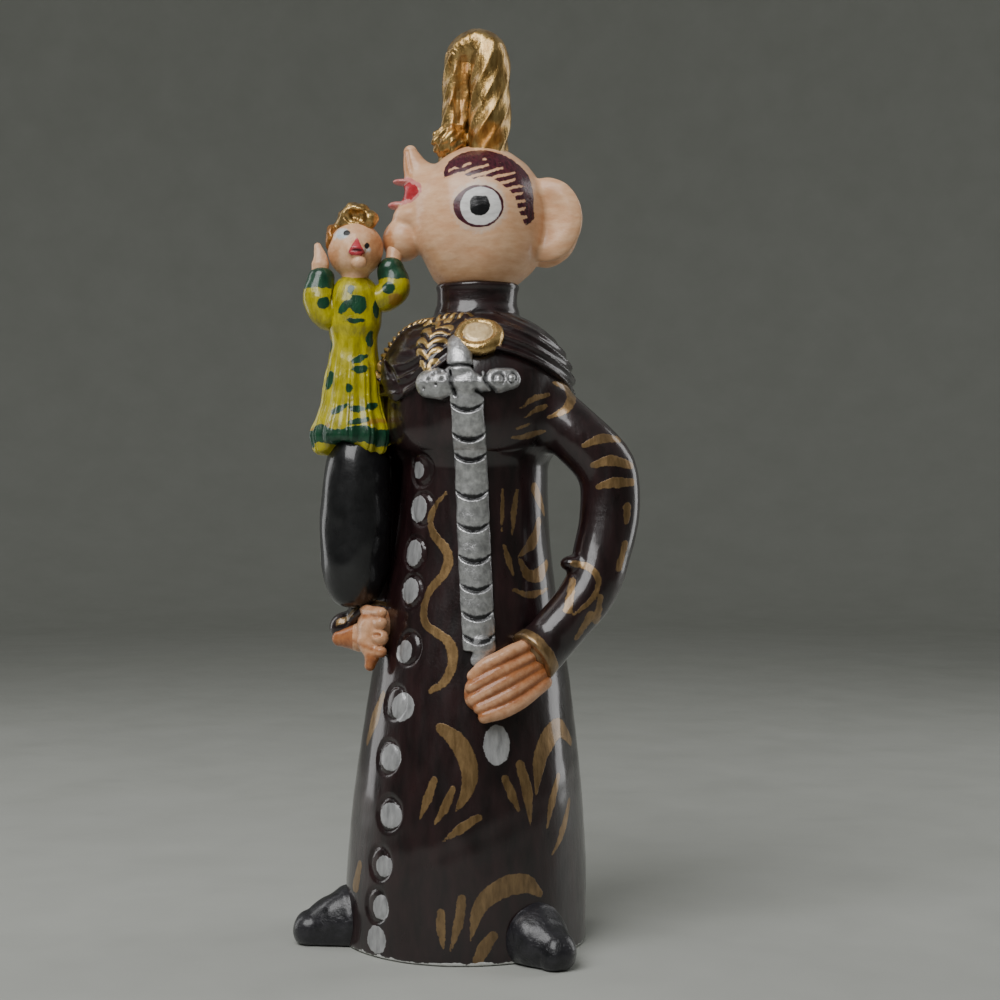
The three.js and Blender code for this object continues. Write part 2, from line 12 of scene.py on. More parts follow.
import bpy
import numpy as np
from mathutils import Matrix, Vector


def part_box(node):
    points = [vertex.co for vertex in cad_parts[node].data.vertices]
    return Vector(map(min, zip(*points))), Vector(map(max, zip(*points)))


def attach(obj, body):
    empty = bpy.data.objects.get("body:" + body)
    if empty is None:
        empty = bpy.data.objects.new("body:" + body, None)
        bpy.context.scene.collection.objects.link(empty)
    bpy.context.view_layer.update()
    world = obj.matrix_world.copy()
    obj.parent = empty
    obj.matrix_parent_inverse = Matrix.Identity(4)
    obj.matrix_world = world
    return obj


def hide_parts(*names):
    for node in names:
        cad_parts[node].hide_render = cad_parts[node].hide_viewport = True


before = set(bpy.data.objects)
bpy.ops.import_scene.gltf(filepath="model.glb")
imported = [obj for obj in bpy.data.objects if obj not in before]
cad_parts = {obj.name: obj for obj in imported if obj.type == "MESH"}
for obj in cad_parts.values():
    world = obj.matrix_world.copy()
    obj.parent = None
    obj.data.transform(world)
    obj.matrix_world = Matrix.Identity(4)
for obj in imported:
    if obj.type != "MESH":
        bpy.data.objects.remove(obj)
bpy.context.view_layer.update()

import openvdb
from mathutils import Vector

# %% [markdown]
# ## One measure for everything
# A form could be typed in metres, but clay is easier to think of in millimetres. The height of the
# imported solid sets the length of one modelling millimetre, so every piece follows the frame.
# Places are given as seen from the side on which the head is in profile: across to the right,
# away from the eye, and up. That view is turned from the figure's own front by the gaze turn.

# %% Measures of the pose
designed_height = 308.1
lowest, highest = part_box("statuette")
millimetre = (highest[2] - lowest[2]) / designed_height
gaze_turn = 25.0
lean = 0.02
print("one modelling millimetre is", round(millimetre * 1000, 4), "mm")


def around(azimuth, radius, height):
    """A place at an azimuth in degrees from the figure's own front."""
    angle = math.radians(azimuth - gaze_turn)
    return np.array([radius * math.sin(angle), -radius * math.cos(angle), height])


def on_frame(places):
    """Modelling places as metres in the frame, with the whole figure's slight lean."""
    angle = math.radians(gaze_turn)
    across = places[:, 0] + lean * places[:, 2]
    away = places[:, 1]
    x = across * math.cos(angle) - away * math.sin(angle)
    y = across * math.sin(angle) + away * math.cos(angle)
    return np.stack([x, y, places[:, 2]], 1) * millimetre

# %% [markdown]
# ## Balls, eggs and rolls
# A potter starts from balls, eggs and rolls. Each is a function that takes places and gives the
# distance to its surface, negative inside. A roll follows a smooth line through a few points.

# %% Balls and eggs
def length(arrows):
    """How long each arrow is."""
    return np.sqrt((arrows * arrows).sum(-1))


def unit(arrow):
    """An arrow of length one in the same direction."""
    return arrow / np.sqrt(arrow @ arrow)


def ball(places, centre, radii):
    """The distance to a ball that is pulled to its three half sizes."""
    offset = places - np.asarray(centre)
    reach = length(offset / radii)
    slope = length(offset / np.square(radii))
    return reach * (reach - 1) / np.maximum(slope, 1e-9)


def egg(places, centre, radius, up, down, power_up=2.0, power_down=2.0, thin=1.0):
    """The distance to an upright egg, with a half height and a fullness above and below."""
    offset = places - np.asarray(centre)
    across = np.hypot(offset[:, 0], offset[:, 1] / thin) / radius
    upper = offset[:, 2] > 0
    half = np.where(upper, up, down)
    rise = np.abs(offset[:, 2]) / half
    power = np.where(upper, power_up, power_down)
    whole = np.maximum((across ** power + rise ** power) ** (1 / power), 1e-6)
    slope = np.hypot(across ** (power - 1) / radius, rise ** (power - 1) / half) / whole ** (power - 1)
    return (whole - 1) / np.maximum(slope, 0.3 / radius)


def turned(places, centre, degrees, axis):
    """The same places, seen from a form that is turned about an axis through its centre."""
    angle = math.radians(-degrees)
    first, second = [(1, 2), (2, 0), (0, 1)][axis]
    result = places - np.asarray(centre)
    one = result[:, first].copy()
    two = result[:, second].copy()
    result[:, first] = one * math.cos(angle) - two * math.sin(angle)
    result[:, second] = one * math.sin(angle) + two * math.cos(angle)
    return result

# %% Smooth lines and rolls
def curve(points, count=20):
    """Even steps along a smooth line through given points."""
    given = np.array([np.asarray(point, float) for point in points])
    guide = np.vstack([2 * given[0] - given[1], given, 2 * given[-1] - given[-2]])
    steps = np.linspace(0, len(given) - 1, 16 * len(given))
    index = np.minimum(steps.astype(int), len(given) - 2)
    part = (steps - index)[:, None]
    a, b, c, d = guide[index], guide[index + 1], guide[index + 2], guide[index + 3]
    smooth = 0.5 * (2 * b + (c - a) * part + (2 * a - 5 * b + 4 * c - d) * part ** 2
                    + (3 * b - a - 3 * c + d) * part ** 3)
    travelled = np.concatenate([[0], np.cumsum(length(np.diff(smooth, axis=0)))])
    wanted = np.linspace(0, travelled[-1], count)
    return np.stack([np.interp(wanted, travelled, smooth[:, axis]) for axis in range(3)], 1)


def beside(places, path, facing=(0, 0, 1)):
    """How far along a path the nearest point lies, and how far off it to the side and up."""
    nearest = np.full(len(places), np.inf)
    share = np.zeros(len(places))
    side = np.zeros(len(places))
    lift = np.zeros(len(places))
    last = len(path) - 1
    for index in range(last):
        start = path[index]
        step = path[index + 1] - start
        part = np.clip((places - start) @ step / (step @ step), 0, 1)
        offset = places - start - part[:, None] * step
        away = (offset * offset).sum(1)
        closer = away < nearest
        upward = np.asarray(facing) - step * (np.dot(facing, step) / (step @ step))
        upward = unit(upward)
        raised = offset[closer] @ upward
        nearest[closer] = away[closer]
        share[closer] = (index + part[closer]) / last
        lift[closer] = raised
        sideways = np.cross(step, upward) / np.sqrt(step @ step)
        side[closer] = offset[closer] @ sideways
    return share, side, lift, np.sqrt(nearest)


def roll(places, points, widths, flat=1.0, facing=(0, 0, 1), count=20, shape=None):
    """A roll of clay along a line, thick as the widths say, pressed flat if flat is under 1."""
    path = curve(points, count)
    margin = 6.0
    reach = max(widths) + margin
    outside = np.maximum(np.maximum(path.min(0) - reach - places, places - path.max(0) - reach), 0)
    result = length(outside) + margin
    close = result == margin
    if not close.any():
        return result
    share, side, lift, away = beside(places[close], path, facing)
    radius = np.interp(share, np.linspace(0, 1, len(widths)), widths)
    if shape is not None:
        radius = radius * shape(np.arctan2(side, lift), share)
    if flat == 1.0:
        result[close] = away - radius
        return result
    rest = np.sqrt(np.maximum(away ** 2 - lift ** 2, 0))
    pressed = np.hypot(rest, lift / flat)
    slope = np.hypot(rest, lift / flat ** 2)
    result[close] = (pressed - radius) * np.minimum(pressed / np.maximum(slope, 1e-6), 1)
    return result

# %% [markdown]
# ## Joins, cuts and the hand's unevenness
# A hard union would leave a knife edge where two clays meet. Here the smaller distance wins with a
# rounded corner, as if a wet finger had run along the join. Slow waves keep surfaces off perfect.

# %% Joins and unevenness
def blend(first, second, width):
    """The smaller of two distances, rounded where they are nearly alike."""
    overlap = np.maximum(width - np.abs(first - second), 0) / width
    return np.minimum(first, second) - overlap * overlap * width / 4


def joined(width, *forms):
    """All forms luted together with one width of fillet."""
    whole = forms[0]
    for form in forms[1:]:
        whole = blend(whole, form, width)
    return whole


def cut(form, tool, width):
    """The form without the tool's volume, with a rounded rim."""
    return -blend(-form, tool, width)


def within(form, limit, width):
    """What form and limit have in common."""
    return -blend(-form, -limit, width)


def uneven(places, size, height, seed):
    """Six crossing waves, as long as the size says and up to about the height."""
    draw = np.random.default_rng(seed)
    total = np.zeros(len(places))
    for _ in range(6):
        direction = draw.normal(size=3)
        direction = unit(direction)
        pace = 2 * math.pi / (size * draw.uniform(0.7, 1.5))
        total = total + np.sin(places @ direction * pace + draw.uniform(0, 2 * math.pi))
    return total * height / 3


def press(away, width):
    """The profile of a tool mark: one at its middle, nothing beside it."""
    return np.exp(-np.square(away / width))

# %% [markdown]
# ## From a field to a mesh
# Sampling a whole box finely is slow, so a coarse grid first finds the blocks near the surface.
# OpenVDB lays quads through the zeros, and each corner is then pulled onto the true form along the
# slope of the field, which takes the grid's steps out of the highlights.

# %% Laying the skin
block = 4
block_reach = 2.2
margin_cells = 3
settling_rounds = 3


def sampled(field, low, high, step):
    """Distances on a grid, worked out finely only in the blocks near the surface."""
    cells = np.ceil((high - low) / (step * block)).astype(int)
    rough = [start + np.arange(n + 1) * block * step for start, n in zip(low, cells)]
    corners = np.stack(np.meshgrid(*rough, indexing="ij"), -1)
    far = field(corners.reshape(-1, 3)).reshape(corners.shape[:3])
    close = np.abs(far) < block_reach * block * step
    hold = np.zeros(cells, bool)
    for i, j, k in itertools.product((0, 1), repeat=3):
        hold |= close[i:i + cells[0], j:j + cells[1], k:k + cells[2]]
    values = far[:-1, :-1, :-1]
    for axis in range(3):
        values = np.repeat(values, block, axis)
        hold = np.repeat(hold, block, axis)
    values[hold] = field(np.argwhere(hold) * step + low)
    return values


def settled(field, points, step):
    """Each corner moved onto the form along the slope of the field."""
    small = 0.04
    ways = np.array([[1, -1, -1], [-1, -1, 1], [-1, 1, -1], [1, 1, 1]])
    samples = [field(points + small * way) for way in ways]
    slope = sum(sample[:, None] * way for sample, way in zip(samples, ways)) / (4 * small)
    move = (sum(samples) / 4)[:, None] * slope / np.maximum((slope * slope).sum(1), 0.2)[:, None]
    size = length(move)[:, None]
    return points - move * np.minimum(1, 0.5 * step / np.maximum(size, 1e-9))


surfaces = {}


def fired(name, field, low, high, step):
    """A mesh through the zeros of a field, in the frame, riding on the body."""
    step = step * 1.0
    low = np.array(low, float) - margin_cells * step
    high = np.array(high, float) + margin_cells * step
    grid = openvdb.FloatGrid(4 * step)
    grid.copyFromArray(sampled(field, low, high, step).astype(np.float32))
    points, quads = grid.convertToQuads()
    points = points.astype(float) * step + low
    quads = quads.astype(int)
    for _ in range(settling_rounds):
        points = settled(field, points, step)
    a, b, c = points[quads[:, 0]], points[quads[:, 1]], points[quads[:, 2]]
    if (np.cross(b - a, c - a) * (a - points.mean(0))).sum() < 0:
        quads = quads[:, ::-1]
    mesh = bpy.data.meshes.new(name)
    mesh.from_pydata(on_frame(points).tolist(), [], quads.tolist())
    mesh.shade_smooth()
    piece = bpy.data.objects.new(name, mesh)
    bpy.context.scene.collection.objects.link(piece)
    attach(piece, "root")
    surfaces[name] = points
    print(name, "has", 2 * len(quads), "triangles")
    return piece


far_off = 9.0


def unpainted(places):
    """A mark's values where none of its paint lies."""
    return np.full(len(places), far_off)


def mark(piece, name, values):
    """A value for each corner, which a finish reads by its name."""
    layer = piece.data.attributes.new(name, "FLOAT", "POINT")
    layer.data.foreach_set("value", np.asarray(values, np.float32))

# %% [markdown]
# ## Paint
# The paint could be an image, but strokes drawn as distances stay sharp at any size. A finish has a
# ground colour and coats over it. Each coat shows where its mark is negative, with a wandering
# edge, and stands a little proud as thick paint does. Gold and silver are paint with metal in it.

# %% Building a finish
def linked(tree, kind, inputs=(), **settings):
    """A new node with its settings, its inputs filled by values or by other nodes' outputs."""
    made = tree.nodes.new(kind)
    for key, value in settings.items():
        setattr(made, key, value)
    for key, value in dict(inputs).items():
        if isinstance(value, bpy.types.NodeSocket):
            tree.links.new(value, made.inputs[key])
        else:
            made.inputs[key].default_value = value
    return made


def arithmetic(tree, operation, first, second):
    return linked(tree, "ShaderNodeMath", {0: first, 1: second}, operation=operation).outputs[0]


def noise(tree, size, stretch=(1, 1, 1), detail=3.0, low=0.0, high=1.0):
    """Noise with features of a size in millimetres, stretched along the axes."""
    place = linked(tree, "ShaderNodeTexCoord").outputs["Object"]
    scale = [1 / (size * millimetre * s) for s in stretch]
    mapped = linked(tree, "ShaderNodeMapping", {"Vector": place, "Scale": scale})
    made = linked(tree, "ShaderNodeTexNoise",
                  {"Vector": mapped.outputs[0], "Scale": 1.0, "Detail": detail, "Roughness": 0.6})
    spread = {"Value": made.outputs[0], "From Min": 0.3, "From Max": 0.7, "To Min": low, "To Max": high}
    return linked(tree, "ShaderNodeMapRange", spread).outputs[0]


def mixed(tree, factor, first, second):
    """A colour or a number between two others."""
    colour = not isinstance(first, (int, float)) or not isinstance(second, (int, float))
    if isinstance(first, bpy.types.NodeSocket):
        colour = first.type == "RGBA"
    kind = "RGBA" if colour else "FLOAT"
    made = linked(tree, "ShaderNodeMix", data_type=kind)
    sockets = [s for s in made.inputs if s.type == ("RGBA" if colour else "VALUE")]
    first_socket, second_socket = sockets[-2:]
    for socket, value in ((made.inputs[0], factor), (first_socket, first), (second_socket, second)):
        if isinstance(value, bpy.types.NodeSocket):
            tree.links.new(value, socket)
        else:
            socket.default_value = (*value, 1) if colour and socket is not made.inputs[0] else value
    return [s for s in made.outputs if s.type == ("RGBA" if colour else "VALUE")][0]


def finish(name, tones, metallic=0.0, roughness=0.3, coats=(), streak=(1, 1, 1), streak_size=4.0,
           varnish=0.6, varnish_roughness=0.12, gloss=0.3, relief=0.06, grain=0.02):
    """A painted, varnished finish: two tones brushed into each other, and coats of other paints."""
    material = bpy.data.materials.new(name)
    material.use_nodes = True
    tree = material.node_tree
    shader = tree.nodes["Principled BSDF"]
    brushed = noise(tree, streak_size, streak)
    colour = mixed(tree, brushed, tones[0], tones[1])
    rough = noise(tree, streak_size * 0.7, streak, low=roughness * 0.75, high=roughness * 1.3)
    metal = metallic
    thick = arithmetic(tree, "MULTIPLY", noise(tree, streak_size, streak, detail=4.0), relief)
    fine = arithmetic(tree, "MULTIPLY", noise(tree, 0.9, detail=2.0), grain)
    thick = arithmetic(tree, "ADD", thick, fine)
    for coat in coats:
        where = linked(tree, "ShaderNodeAttribute", attribute_name=coat["mark"]).outputs["Fac"]
        ragged = coat.get("ragged", 0.25)
        wander = noise(tree, coat.get("wander", 1.6), low=-ragged, high=ragged)
        edge = arithmetic(tree, "ADD", where, wander)
        soft = coat.get("soft", 0.12)
        shown = linked(tree, "ShaderNodeMapRange", {"Value": edge, "From Min": soft, "From Max": -soft})
        shown = arithmetic(tree, "MULTIPLY", shown.outputs[0], coat.get("cover", 1.0))
        tint = mixed(tree, noise(tree, coat.get("size", 2.0), coat.get("streak", streak)),
                     coat["tones"][0], coat["tones"][1])
        colour = mixed(tree, shown, colour, tint)
        rough = mixed(tree, shown, rough, coat.get("roughness", roughness))
        metal = mixed(tree, shown, metal, coat.get("metallic", 0.0))
        thick = arithmetic(tree, "ADD", thick, arithmetic(tree, "MULTIPLY", shown, coat.get("thick", 0.05)))
    bump = linked(tree, "ShaderNodeBump", {"Height": thick, "Distance": millimetre, "Strength": 1.0})
    tree.links.new(colour, shader.inputs["Base Color"])
    tree.links.new(rough, shader.inputs["Roughness"])
    tree.links.new(bump.outputs[0], shader.inputs["Normal"])
    if isinstance(metal, bpy.types.NodeSocket):
        tree.links.new(metal, shader.inputs["Metallic"])
    else:
        shader.inputs["Metallic"].default_value = metal
    shader.inputs["Specular IOR Level"].default_value = gloss
    shader.inputs["Coat Weight"].default_value = varnish
    shader.inputs["Coat Roughness"].default_value = varnish_roughness
    print(name, "has", len(coats), "coats over its ground")
    return material


def dressed(piece, material):
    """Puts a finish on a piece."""
    piece.data.materials.append(material)

# %% Colours of the paints
aubergine = [(0.006, 0.0025, 0.003), (0.026, 0.010, 0.011)]
old_gold = [(0.16, 0.095, 0.038), (0.34, 0.215, 0.095)]
bright_gold = [(0.38, 0.23, 0.07), (0.70, 0.48, 0.19)]
silver = [(0.32, 0.32, 0.325), (0.64, 0.64, 0.645)]
peach = [(0.70, 0.375, 0.20), (0.84, 0.53, 0.32)]
painted_shade_peach = [(0.50, 0.20, 0.07), (0.64, 0.30, 0.13)]
lamp_black = [(0.004, 0.004, 0.005), (0.012, 0.012, 0.013)]
chalk_white = [(0.68, 0.68, 0.66), (0.80, 0.80, 0.78)]
maroon = [(0.026, 0.004, 0.010), (0.105, 0.017, 0.030)]
gold_coat = dict(tones=old_gold, metallic=0.80, roughness=0.45, thick=0.06)
dull_silver = [(0.27, 0.27, 0.275), (0.50, 0.50, 0.505)]
silver_coat = dict(tones=dull_silver, metallic=0.35, roughness=0.50, thick=0.10)

# %% [markdown]
# ## Camera, floor and light
# The view is level, a little to the right of the figure's axis, and turned to the gaze. A very large
# soft light hangs in front, above and to the left, and two tall ones stand far to the sides, so
# the varnish shows broad grey sheens with soft ends instead of hard bars. The floor sweeps up
# into a wall far behind, so no edge of it is seen.

# %% Camera
view_height = 148.2
view_distance = 612.0
view_offset = 11.9
view_width = 340.0
sensor_width = 36.0
room_colour = (0.55, 0.56, 0.53, 1)
room_brightness = 0.36


def seen_place(across, away, height):
    """One modelling place as a place in the frame."""
    return on_frame(np.array([[across, away, height]]))[0]


def unleaned(across, height):
    """On-frame places lean with height; this takes that lean off for the lights and the camera."""
    return across - lean * height


camera_data = bpy.data.cameras.new("camera")
camera_data.sensor_width = sensor_width
camera_data.lens = sensor_width * view_distance / view_width
camera_data.clip_start = 0.01
camera = bpy.data.objects.new("camera", camera_data)
bpy.context.scene.collection.objects.link(camera)
camera.location = seen_place(unleaned(view_offset, view_height), -view_distance, view_height)
camera.rotation_euler = (math.radians(90), 0, math.radians(gaze_turn))
bpy.context.scene.camera = camera
print("camera at", [round(value, 3) for value in camera.location])

# %% Lights
def soft_light(name, place, target, size, watts):
    """A large rectangle of light at a place, aimed at a target."""
    data = bpy.data.lights.new(name, "AREA")
    data.shape = "RECTANGLE"
    data.size, data.size_y = (side * millimetre for side in size)
    data.energy = watts
    light = bpy.data.objects.new(name, data)
    bpy.context.scene.collection.objects.link(light)
    light.location = seen_place(*place)
    direction = light.location - Vector(seen_place(*target))
    light.rotation_euler = direction.to_track_quat("Z", "Y").to_euler()
    light.visible_camera = False
    brightness = watts / (math.pi * data.size * data.size_y)
    print(name, "shines with", round(brightness, 2), "watts for each square metre and steradian")


soft_light("key", (-330, -560, 820), (0, 0, 170), (660, 660), 8.4)
soft_light("left_strip", (-720, 330, 330), (0, 0, 150), (260, 900), 1.5)
soft_light("right_strip", (740, 310, 330), (0, 0, 150), (300, 900), 2.2)

world = bpy.data.worlds.new("studio")
world.use_nodes = True
world.node_tree.nodes["Background"].inputs["Color"].default_value = room_colour
world.node_tree.nodes["Background"].inputs["Strength"].default_value = room_brightness
bpy.context.scene.world = world

# %% Floor
floor_reach = 1.5
floor_bend = 0.8
wall_height = 1.4
floor_sides = 96
floor_depth = 0.0002
flat_rings = [0.4, 0.9]


def swept_floor():
    """Rings of a wide shallow bowl: flat, then a bend, then an upright wall."""
    bend = [math.radians(degrees) for degrees in range(0, 91, 6)]
    profile = [(radius, 0.0) for radius in flat_rings]
    profile += [(floor_reach + floor_bend * math.sin(a), floor_bend * (1 - math.cos(a))) for a in bend]
    profile += [(floor_reach + floor_bend, wall_height)]
    turns = [2 * math.pi * side / floor_sides for side in range(floor_sides)]
    corners = [(0, 0, -floor_depth)]
    corners += [(r * math.cos(t), r * math.sin(t), z - floor_depth) for r, z in profile for t in turns]
    faces = [(0, 1 + side, 1 + (side + 1) % floor_sides) for side in range(floor_sides)]
    for ring in range(len(profile) - 1):
        low = 1 + ring * floor_sides
        for side in range(floor_sides):
            beyond = (side + 1) % floor_sides
            faces.append((low + side, low + floor_sides + side, low + floor_sides + beyond, low + beyond))
    return corners, faces


floor_mesh = bpy.data.meshes.new("floor")
corners, faces = swept_floor()
floor_mesh.from_pydata(corners, [], faces)
floor_mesh.shade_smooth()
floor = bpy.data.objects.new("floor", floor_mesh)
bpy.context.scene.collection.objects.link(floor)
floor_paint = finish("floor_paint", [(0.41, 0.42, 0.39), (0.44, 0.45, 0.42)], roughness=0.7, varnish=0.0,
                     streak_size=60.0, relief=0.0, grain=0.0)
floor_mesh.materials.append(floor_paint)

# %% [markdown]
# ## Robe and chest
# The robe is thrown or coiled: a bell that narrows to the waist. The chest is a full egg that
# overhangs it. Buttons are rings pressed into the wet clay with a tube, each a little off.

# %% Sizes of the robe and chest
robe_height = 162.0
robe_foot_radius = 40.8
robe_waist_radius = 24.8
chest_radius = 31.6
chest_height = 52.0
waist_overlap = 2.5
chest_middle = robe_height - waist_overlap + chest_height / 2
chest_top = chest_middle + chest_height / 2


def robe_radius(height):
    """The bell's outline: a smooth fall from the foot to the waist."""
    share = np.clip(np.asarray(height, float) / robe_height, 0, 1)
    fall = (1 + np.cos(math.pi * share ** 1.2)) / 2
    return robe_waist_radius + (robe_foot_radius - robe_waist_radius) * fall


def chest_radius_at(height):
    """The chest's outline: round above, fuller below."""
    share = (np.asarray(height, float) - chest_middle) / (chest_height / 2)
    power = np.where(share > 0, 2.0, 4.0)
    return chest_radius * np.maximum(1 - np.abs(share) ** power, 0) ** (1 / power)


def body_radius(height):
    robe_part = np.where(np.asarray(height) < robe_height, robe_radius(height), 0)
    return np.maximum(robe_part, chest_radius_at(height))


def on_body(azimuth, height, lift=0.0):
    """A place on the body, or lifted off it."""
    return around(azimuth, float(body_radius(height)) + lift, height)


def laid(line, lift=0.0):
    """A line of azimuths and heights as places on the body."""
    return [on_body(azimuth, height, lift) for azimuth, height in line]


def azimuth_of(places):
    return np.degrees(np.arctan2(places[:, 0], -places[:, 1])) + gaze_turn

# %% Buttons
button_shares = [0.976, 0.896, 0.807, 0.73, 0.615, 0.506, 0.397, 0.288, 0.188, 0.103]
button_azimuth = -18.0
button_radius = 4.9
button_sway = 3.0
button_places = []
for index, share in enumerate(button_shares):
    azimuth = button_azimuth + button_sway * math.sin(index * 2)
    button_places.append((azimuth, robe_height * share))


def button_marks(places):
    """How deep the tube's ring is pressed in, and how far it lifts the clay inside."""
    marks = np.zeros(len(places))
    for azimuth, height in button_places:
        centre = on_body(azimuth, height)
        near = length(places - centre) < 12
        offset = places[near] - centre
        outward = around(azimuth, 1, 0)
        out = offset @ outward
        offset = offset - out[:, None] * outward
        offset[:, 2] *= 0.93
        away = length(offset)
        marks[near] += 0.75 * press(away - button_radius, 0.55) - 0.25 * press(away, 3.4)
    return marks

# %% The robe
chest_bottom_seam = 168.0


def chest_field(places):
    return egg(places, (0, 0, chest_middle), chest_radius, chest_height / 2, chest_height / 2, 2, 4)


def hand_thrown(places):
    """The slow waves that a hand leaves in the robe and the chest."""
    return uneven(places, 34, 0.35, 3) + uneven(places, 11, 0.06, 4)


def robe_field(places):
    away = np.hypot(places[:, 0], places[:, 1])
    height = places[:, 2]
    bell = within(away - robe_radius(height), height - robe_height - 2, 3.0)
    whole = blend(bell, chest_field(places) + 0.15, 4.0)
    whole = whole + hand_thrown(places) + button_marks(places)
    whole = within(whole, height - chest_bottom_seam, 0.5)
    return within(whole, -height, 1.2)


robe = fired("robe", robe_field, (-42, -42, 0), (42, 42, chest_bottom_seam), 0.8)
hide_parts("statuette")

# %% [markdown]
# ## Strokes on the robe
# The gold ornament is laid on with a round brush: a press, a sweep and a lift. Each stroke is a
# line of a few places on the robe with a width at each, and its mark is the distance to that roll.

# %% Brush strokes
robe_strokes = [
    ([(11, 75), (19, 71.5), (24.6, 66), (26.6, 60.5), (25.2, 54.8), (19.6, 48.2)],
     [2.0, 3.3, 3.5, 3.2, 2.1, 0.2]),
    ([(9, 58.5), (6, 52), (3, 46)], [1.4, 1.9, 0.3]),
    ([(18.5, 56), (15, 50), (10, 44.5)], [1.2, 1.9, 0.3]),
    ([(31, 47), (23.4, 43.8), (14.7, 39.4)], [1.4, 1.9, 0.3]),
    ([(44, 59), (47.6, 53.7), (51.6, 48)], [1.4, 1.8, 0.4]),
    ([(52.4, 63), (55.8, 54.9), (57.4, 43.7)], [1.8, 2.4, 0.3]),
    ([(77, 58), (71.2, 50.6), (67, 42)], [1.3, 2.0, 0.4]),
    ([(86, 49), (77, 38.9), (69.7, 33)], [1.2, 2.0, 0.4]),
    ([(96, 68), (84, 73), (74, 71.4), (64.8, 64.5), (61, 53)], [2.2, 3.9, 4.2, 3.0, 0.3]),
    ([(-32.5, 84), (-37, 76.9), (-42.5, 68)], [1.6, 3.8, 1.6]),
    ([(62, 21.5), (55, 25), (45, 25), (36.5, 22), (31.4, 17.5), (28.5, 8.5)],
     [1.6, 3.8, 4.0, 3.4, 2.2, 0.3]),
    ([(14.8, 17), (14.9, 12), (16.3, 6)], [1.5, 1.8, 0.4]),
    ([(24.2, 21.5), (23, 14.5), (19.5, 5)], [1.6, 2.0, 0.3]),
    ([(38.5, 9.4), (34.9, 6.2), (31.9, 2)], [2.0, 2.6, 2.0]),
    ([(-35.5, 28), (-38.5, 21)], [1.8, 2.8]),
    ([(4.7, 150.5), (-4, 146), (-7.5, 141), (-2, 136), (5, 133), (9, 129), (6, 124), (-3, 118.8),
      (-6.5, 113), (-4, 108), (5, 105), (13, 102), (15.5, 96), (12, 90), (4, 86.5)],
     [0.7, 1.1, 1.5, 1.6, 1.9, 2.0, 1.7, 1.6, 1.7, 1.6, 1.7, 2.1, 2.0, 1.7, 1.2]),
    ([(48, 151.5), (48, 144.9), (47, 138)], [0.5, 1.0, 0.4]),
    ([(61, 151.5), (58, 145), (55.5, 136.5)], [0.8, 1.5, 0.3]),
    ([(80, 152), (87, 148), (94, 143.5)], [2.4, 2.6, 1.0]),
    ([(84, 141), (76, 135), (60, 129.6)], [1.8, 2.6, 0.4]),
    ([(49, 133), (52, 128.6), (55, 124)], [0.8, 1.4, 0.6]),
    ([(62, 128), (67, 123.6), (78, 123.4), (91, 127)], [1.2, 2.2, 3.0, 1.6]),
    ([(55, 118.8), (68, 117), (88, 118.6)], [0.7, 1.5, 0.7]),
]
chest_strokes = [
    ([(75, 182.8), (62, 181), (53, 177.8)], [0.8, 1.4, 0.3]),
    ([(77, 179.6), (65, 177.6), (56, 174.8)], [0.8, 1.4, 0.3]),
    ([(49, 168.6), (57, 168.6), (73, 170.8)], [0.6, 1.6, 0.9]),
    ([(52, 171.4), (62, 173.2)], [0.7, 0.4]),
]
hidden_strokes = [
    ([(150 + turn, 74 + rise), (139 + turn, 70 + rise), (133 + turn, 60 + rise), (139 + turn, 46 + rise)],
     [2.2, 3.8, 3.6, 0.4])
    for turn, rise in ((0, 0), (58, 6), (112, -4), (22, -40), (84, -36), (36, 62), (96, 58))
] + [
    ([(146 + turn, 55 + rise), (149 + turn, 48 + rise), (148 + turn, 40 + rise)], [1.4, 2.0, 0.4])
    for turn, rise in ((0, 0), (9, 3), (58, 6), (67, 9), (112, -4), (121, 0), (22, -38), (84, -34))
]


def stroke_distance(places, strokes, weight=0.84):
    """The distance to brush strokes; the weight says how hard the brush was pressed."""
    nearest = unpainted(places)
    for points, widths in strokes:
        widths = [width * weight for width in widths]
        stroke = roll(places, laid(points), widths, count=8 + 4 * len(points))
        nearest = np.minimum(nearest, stroke)
    return nearest


def spot_distance(places, spots):
    """Round and oval spots of paint: azimuth, height, half width and half height."""
    nearest = unpainted(places)
    for azimuth, height, half_width, half_height in spots:
        size = np.array([half_width, half_width, half_height])
        nearest = np.minimum(nearest, ball(places, on_body(azimuth, height), size))
    return nearest


button_spots = [
    (-21.0, 158.1, 2.7, 2.9), (-19.8, 145.2, 4.0, 4.5), (-21.9, 130.7, 4.3, 4.4), (-21.5, 118.4, 4.4, 4.3),
    (-18.6, 98.6, 4.0, 3.7), (-13.2, 80.9, 4.8, 4.7), (-17.1, 64.5, 4.4, 4.3), (-13.9, 46.2, 4.6, 4.1),
    (-15.9, 29.8, 3.5, 3.4), (-16.5, 16.4, 3.6, 4.0), (-19.2, 5.8, 4.6, 4.5), (40.2, 69.6, 4.4, 6.6),
]
bare_edge_height = 0.8
places = surfaces["robe"]
mark(robe, "gold", stroke_distance(places, robe_strokes + hidden_strokes))
mark(robe, "silver", spot_distance(places, button_spots))
mark(robe, "bare", places[:, 2] - bare_edge_height)
robe_paint = finish(
    "robe_paint", aubergine, roughness=0.34, streak=(1, 1, 3.5), streak_size=5.0, relief=0.10, varnish=0.9,
    coats=[
        dict(gold_coat, mark="gold"),
        dict(silver_coat, mark="silver"),
        dict(mark="bare", tones=chalk_white, roughness=0.7, ragged=0.7, wander=5.0),
    ],
)
dressed(robe, robe_paint)

# %% [markdown]
# ## Collar, mantle and brooch
# The mantle is a thin slab folded over the shoulders. Its border is combed into ridges, on the
# viewer's left it turns into a lappet with a rope edge and a leaf, and a dished brooch holds it.

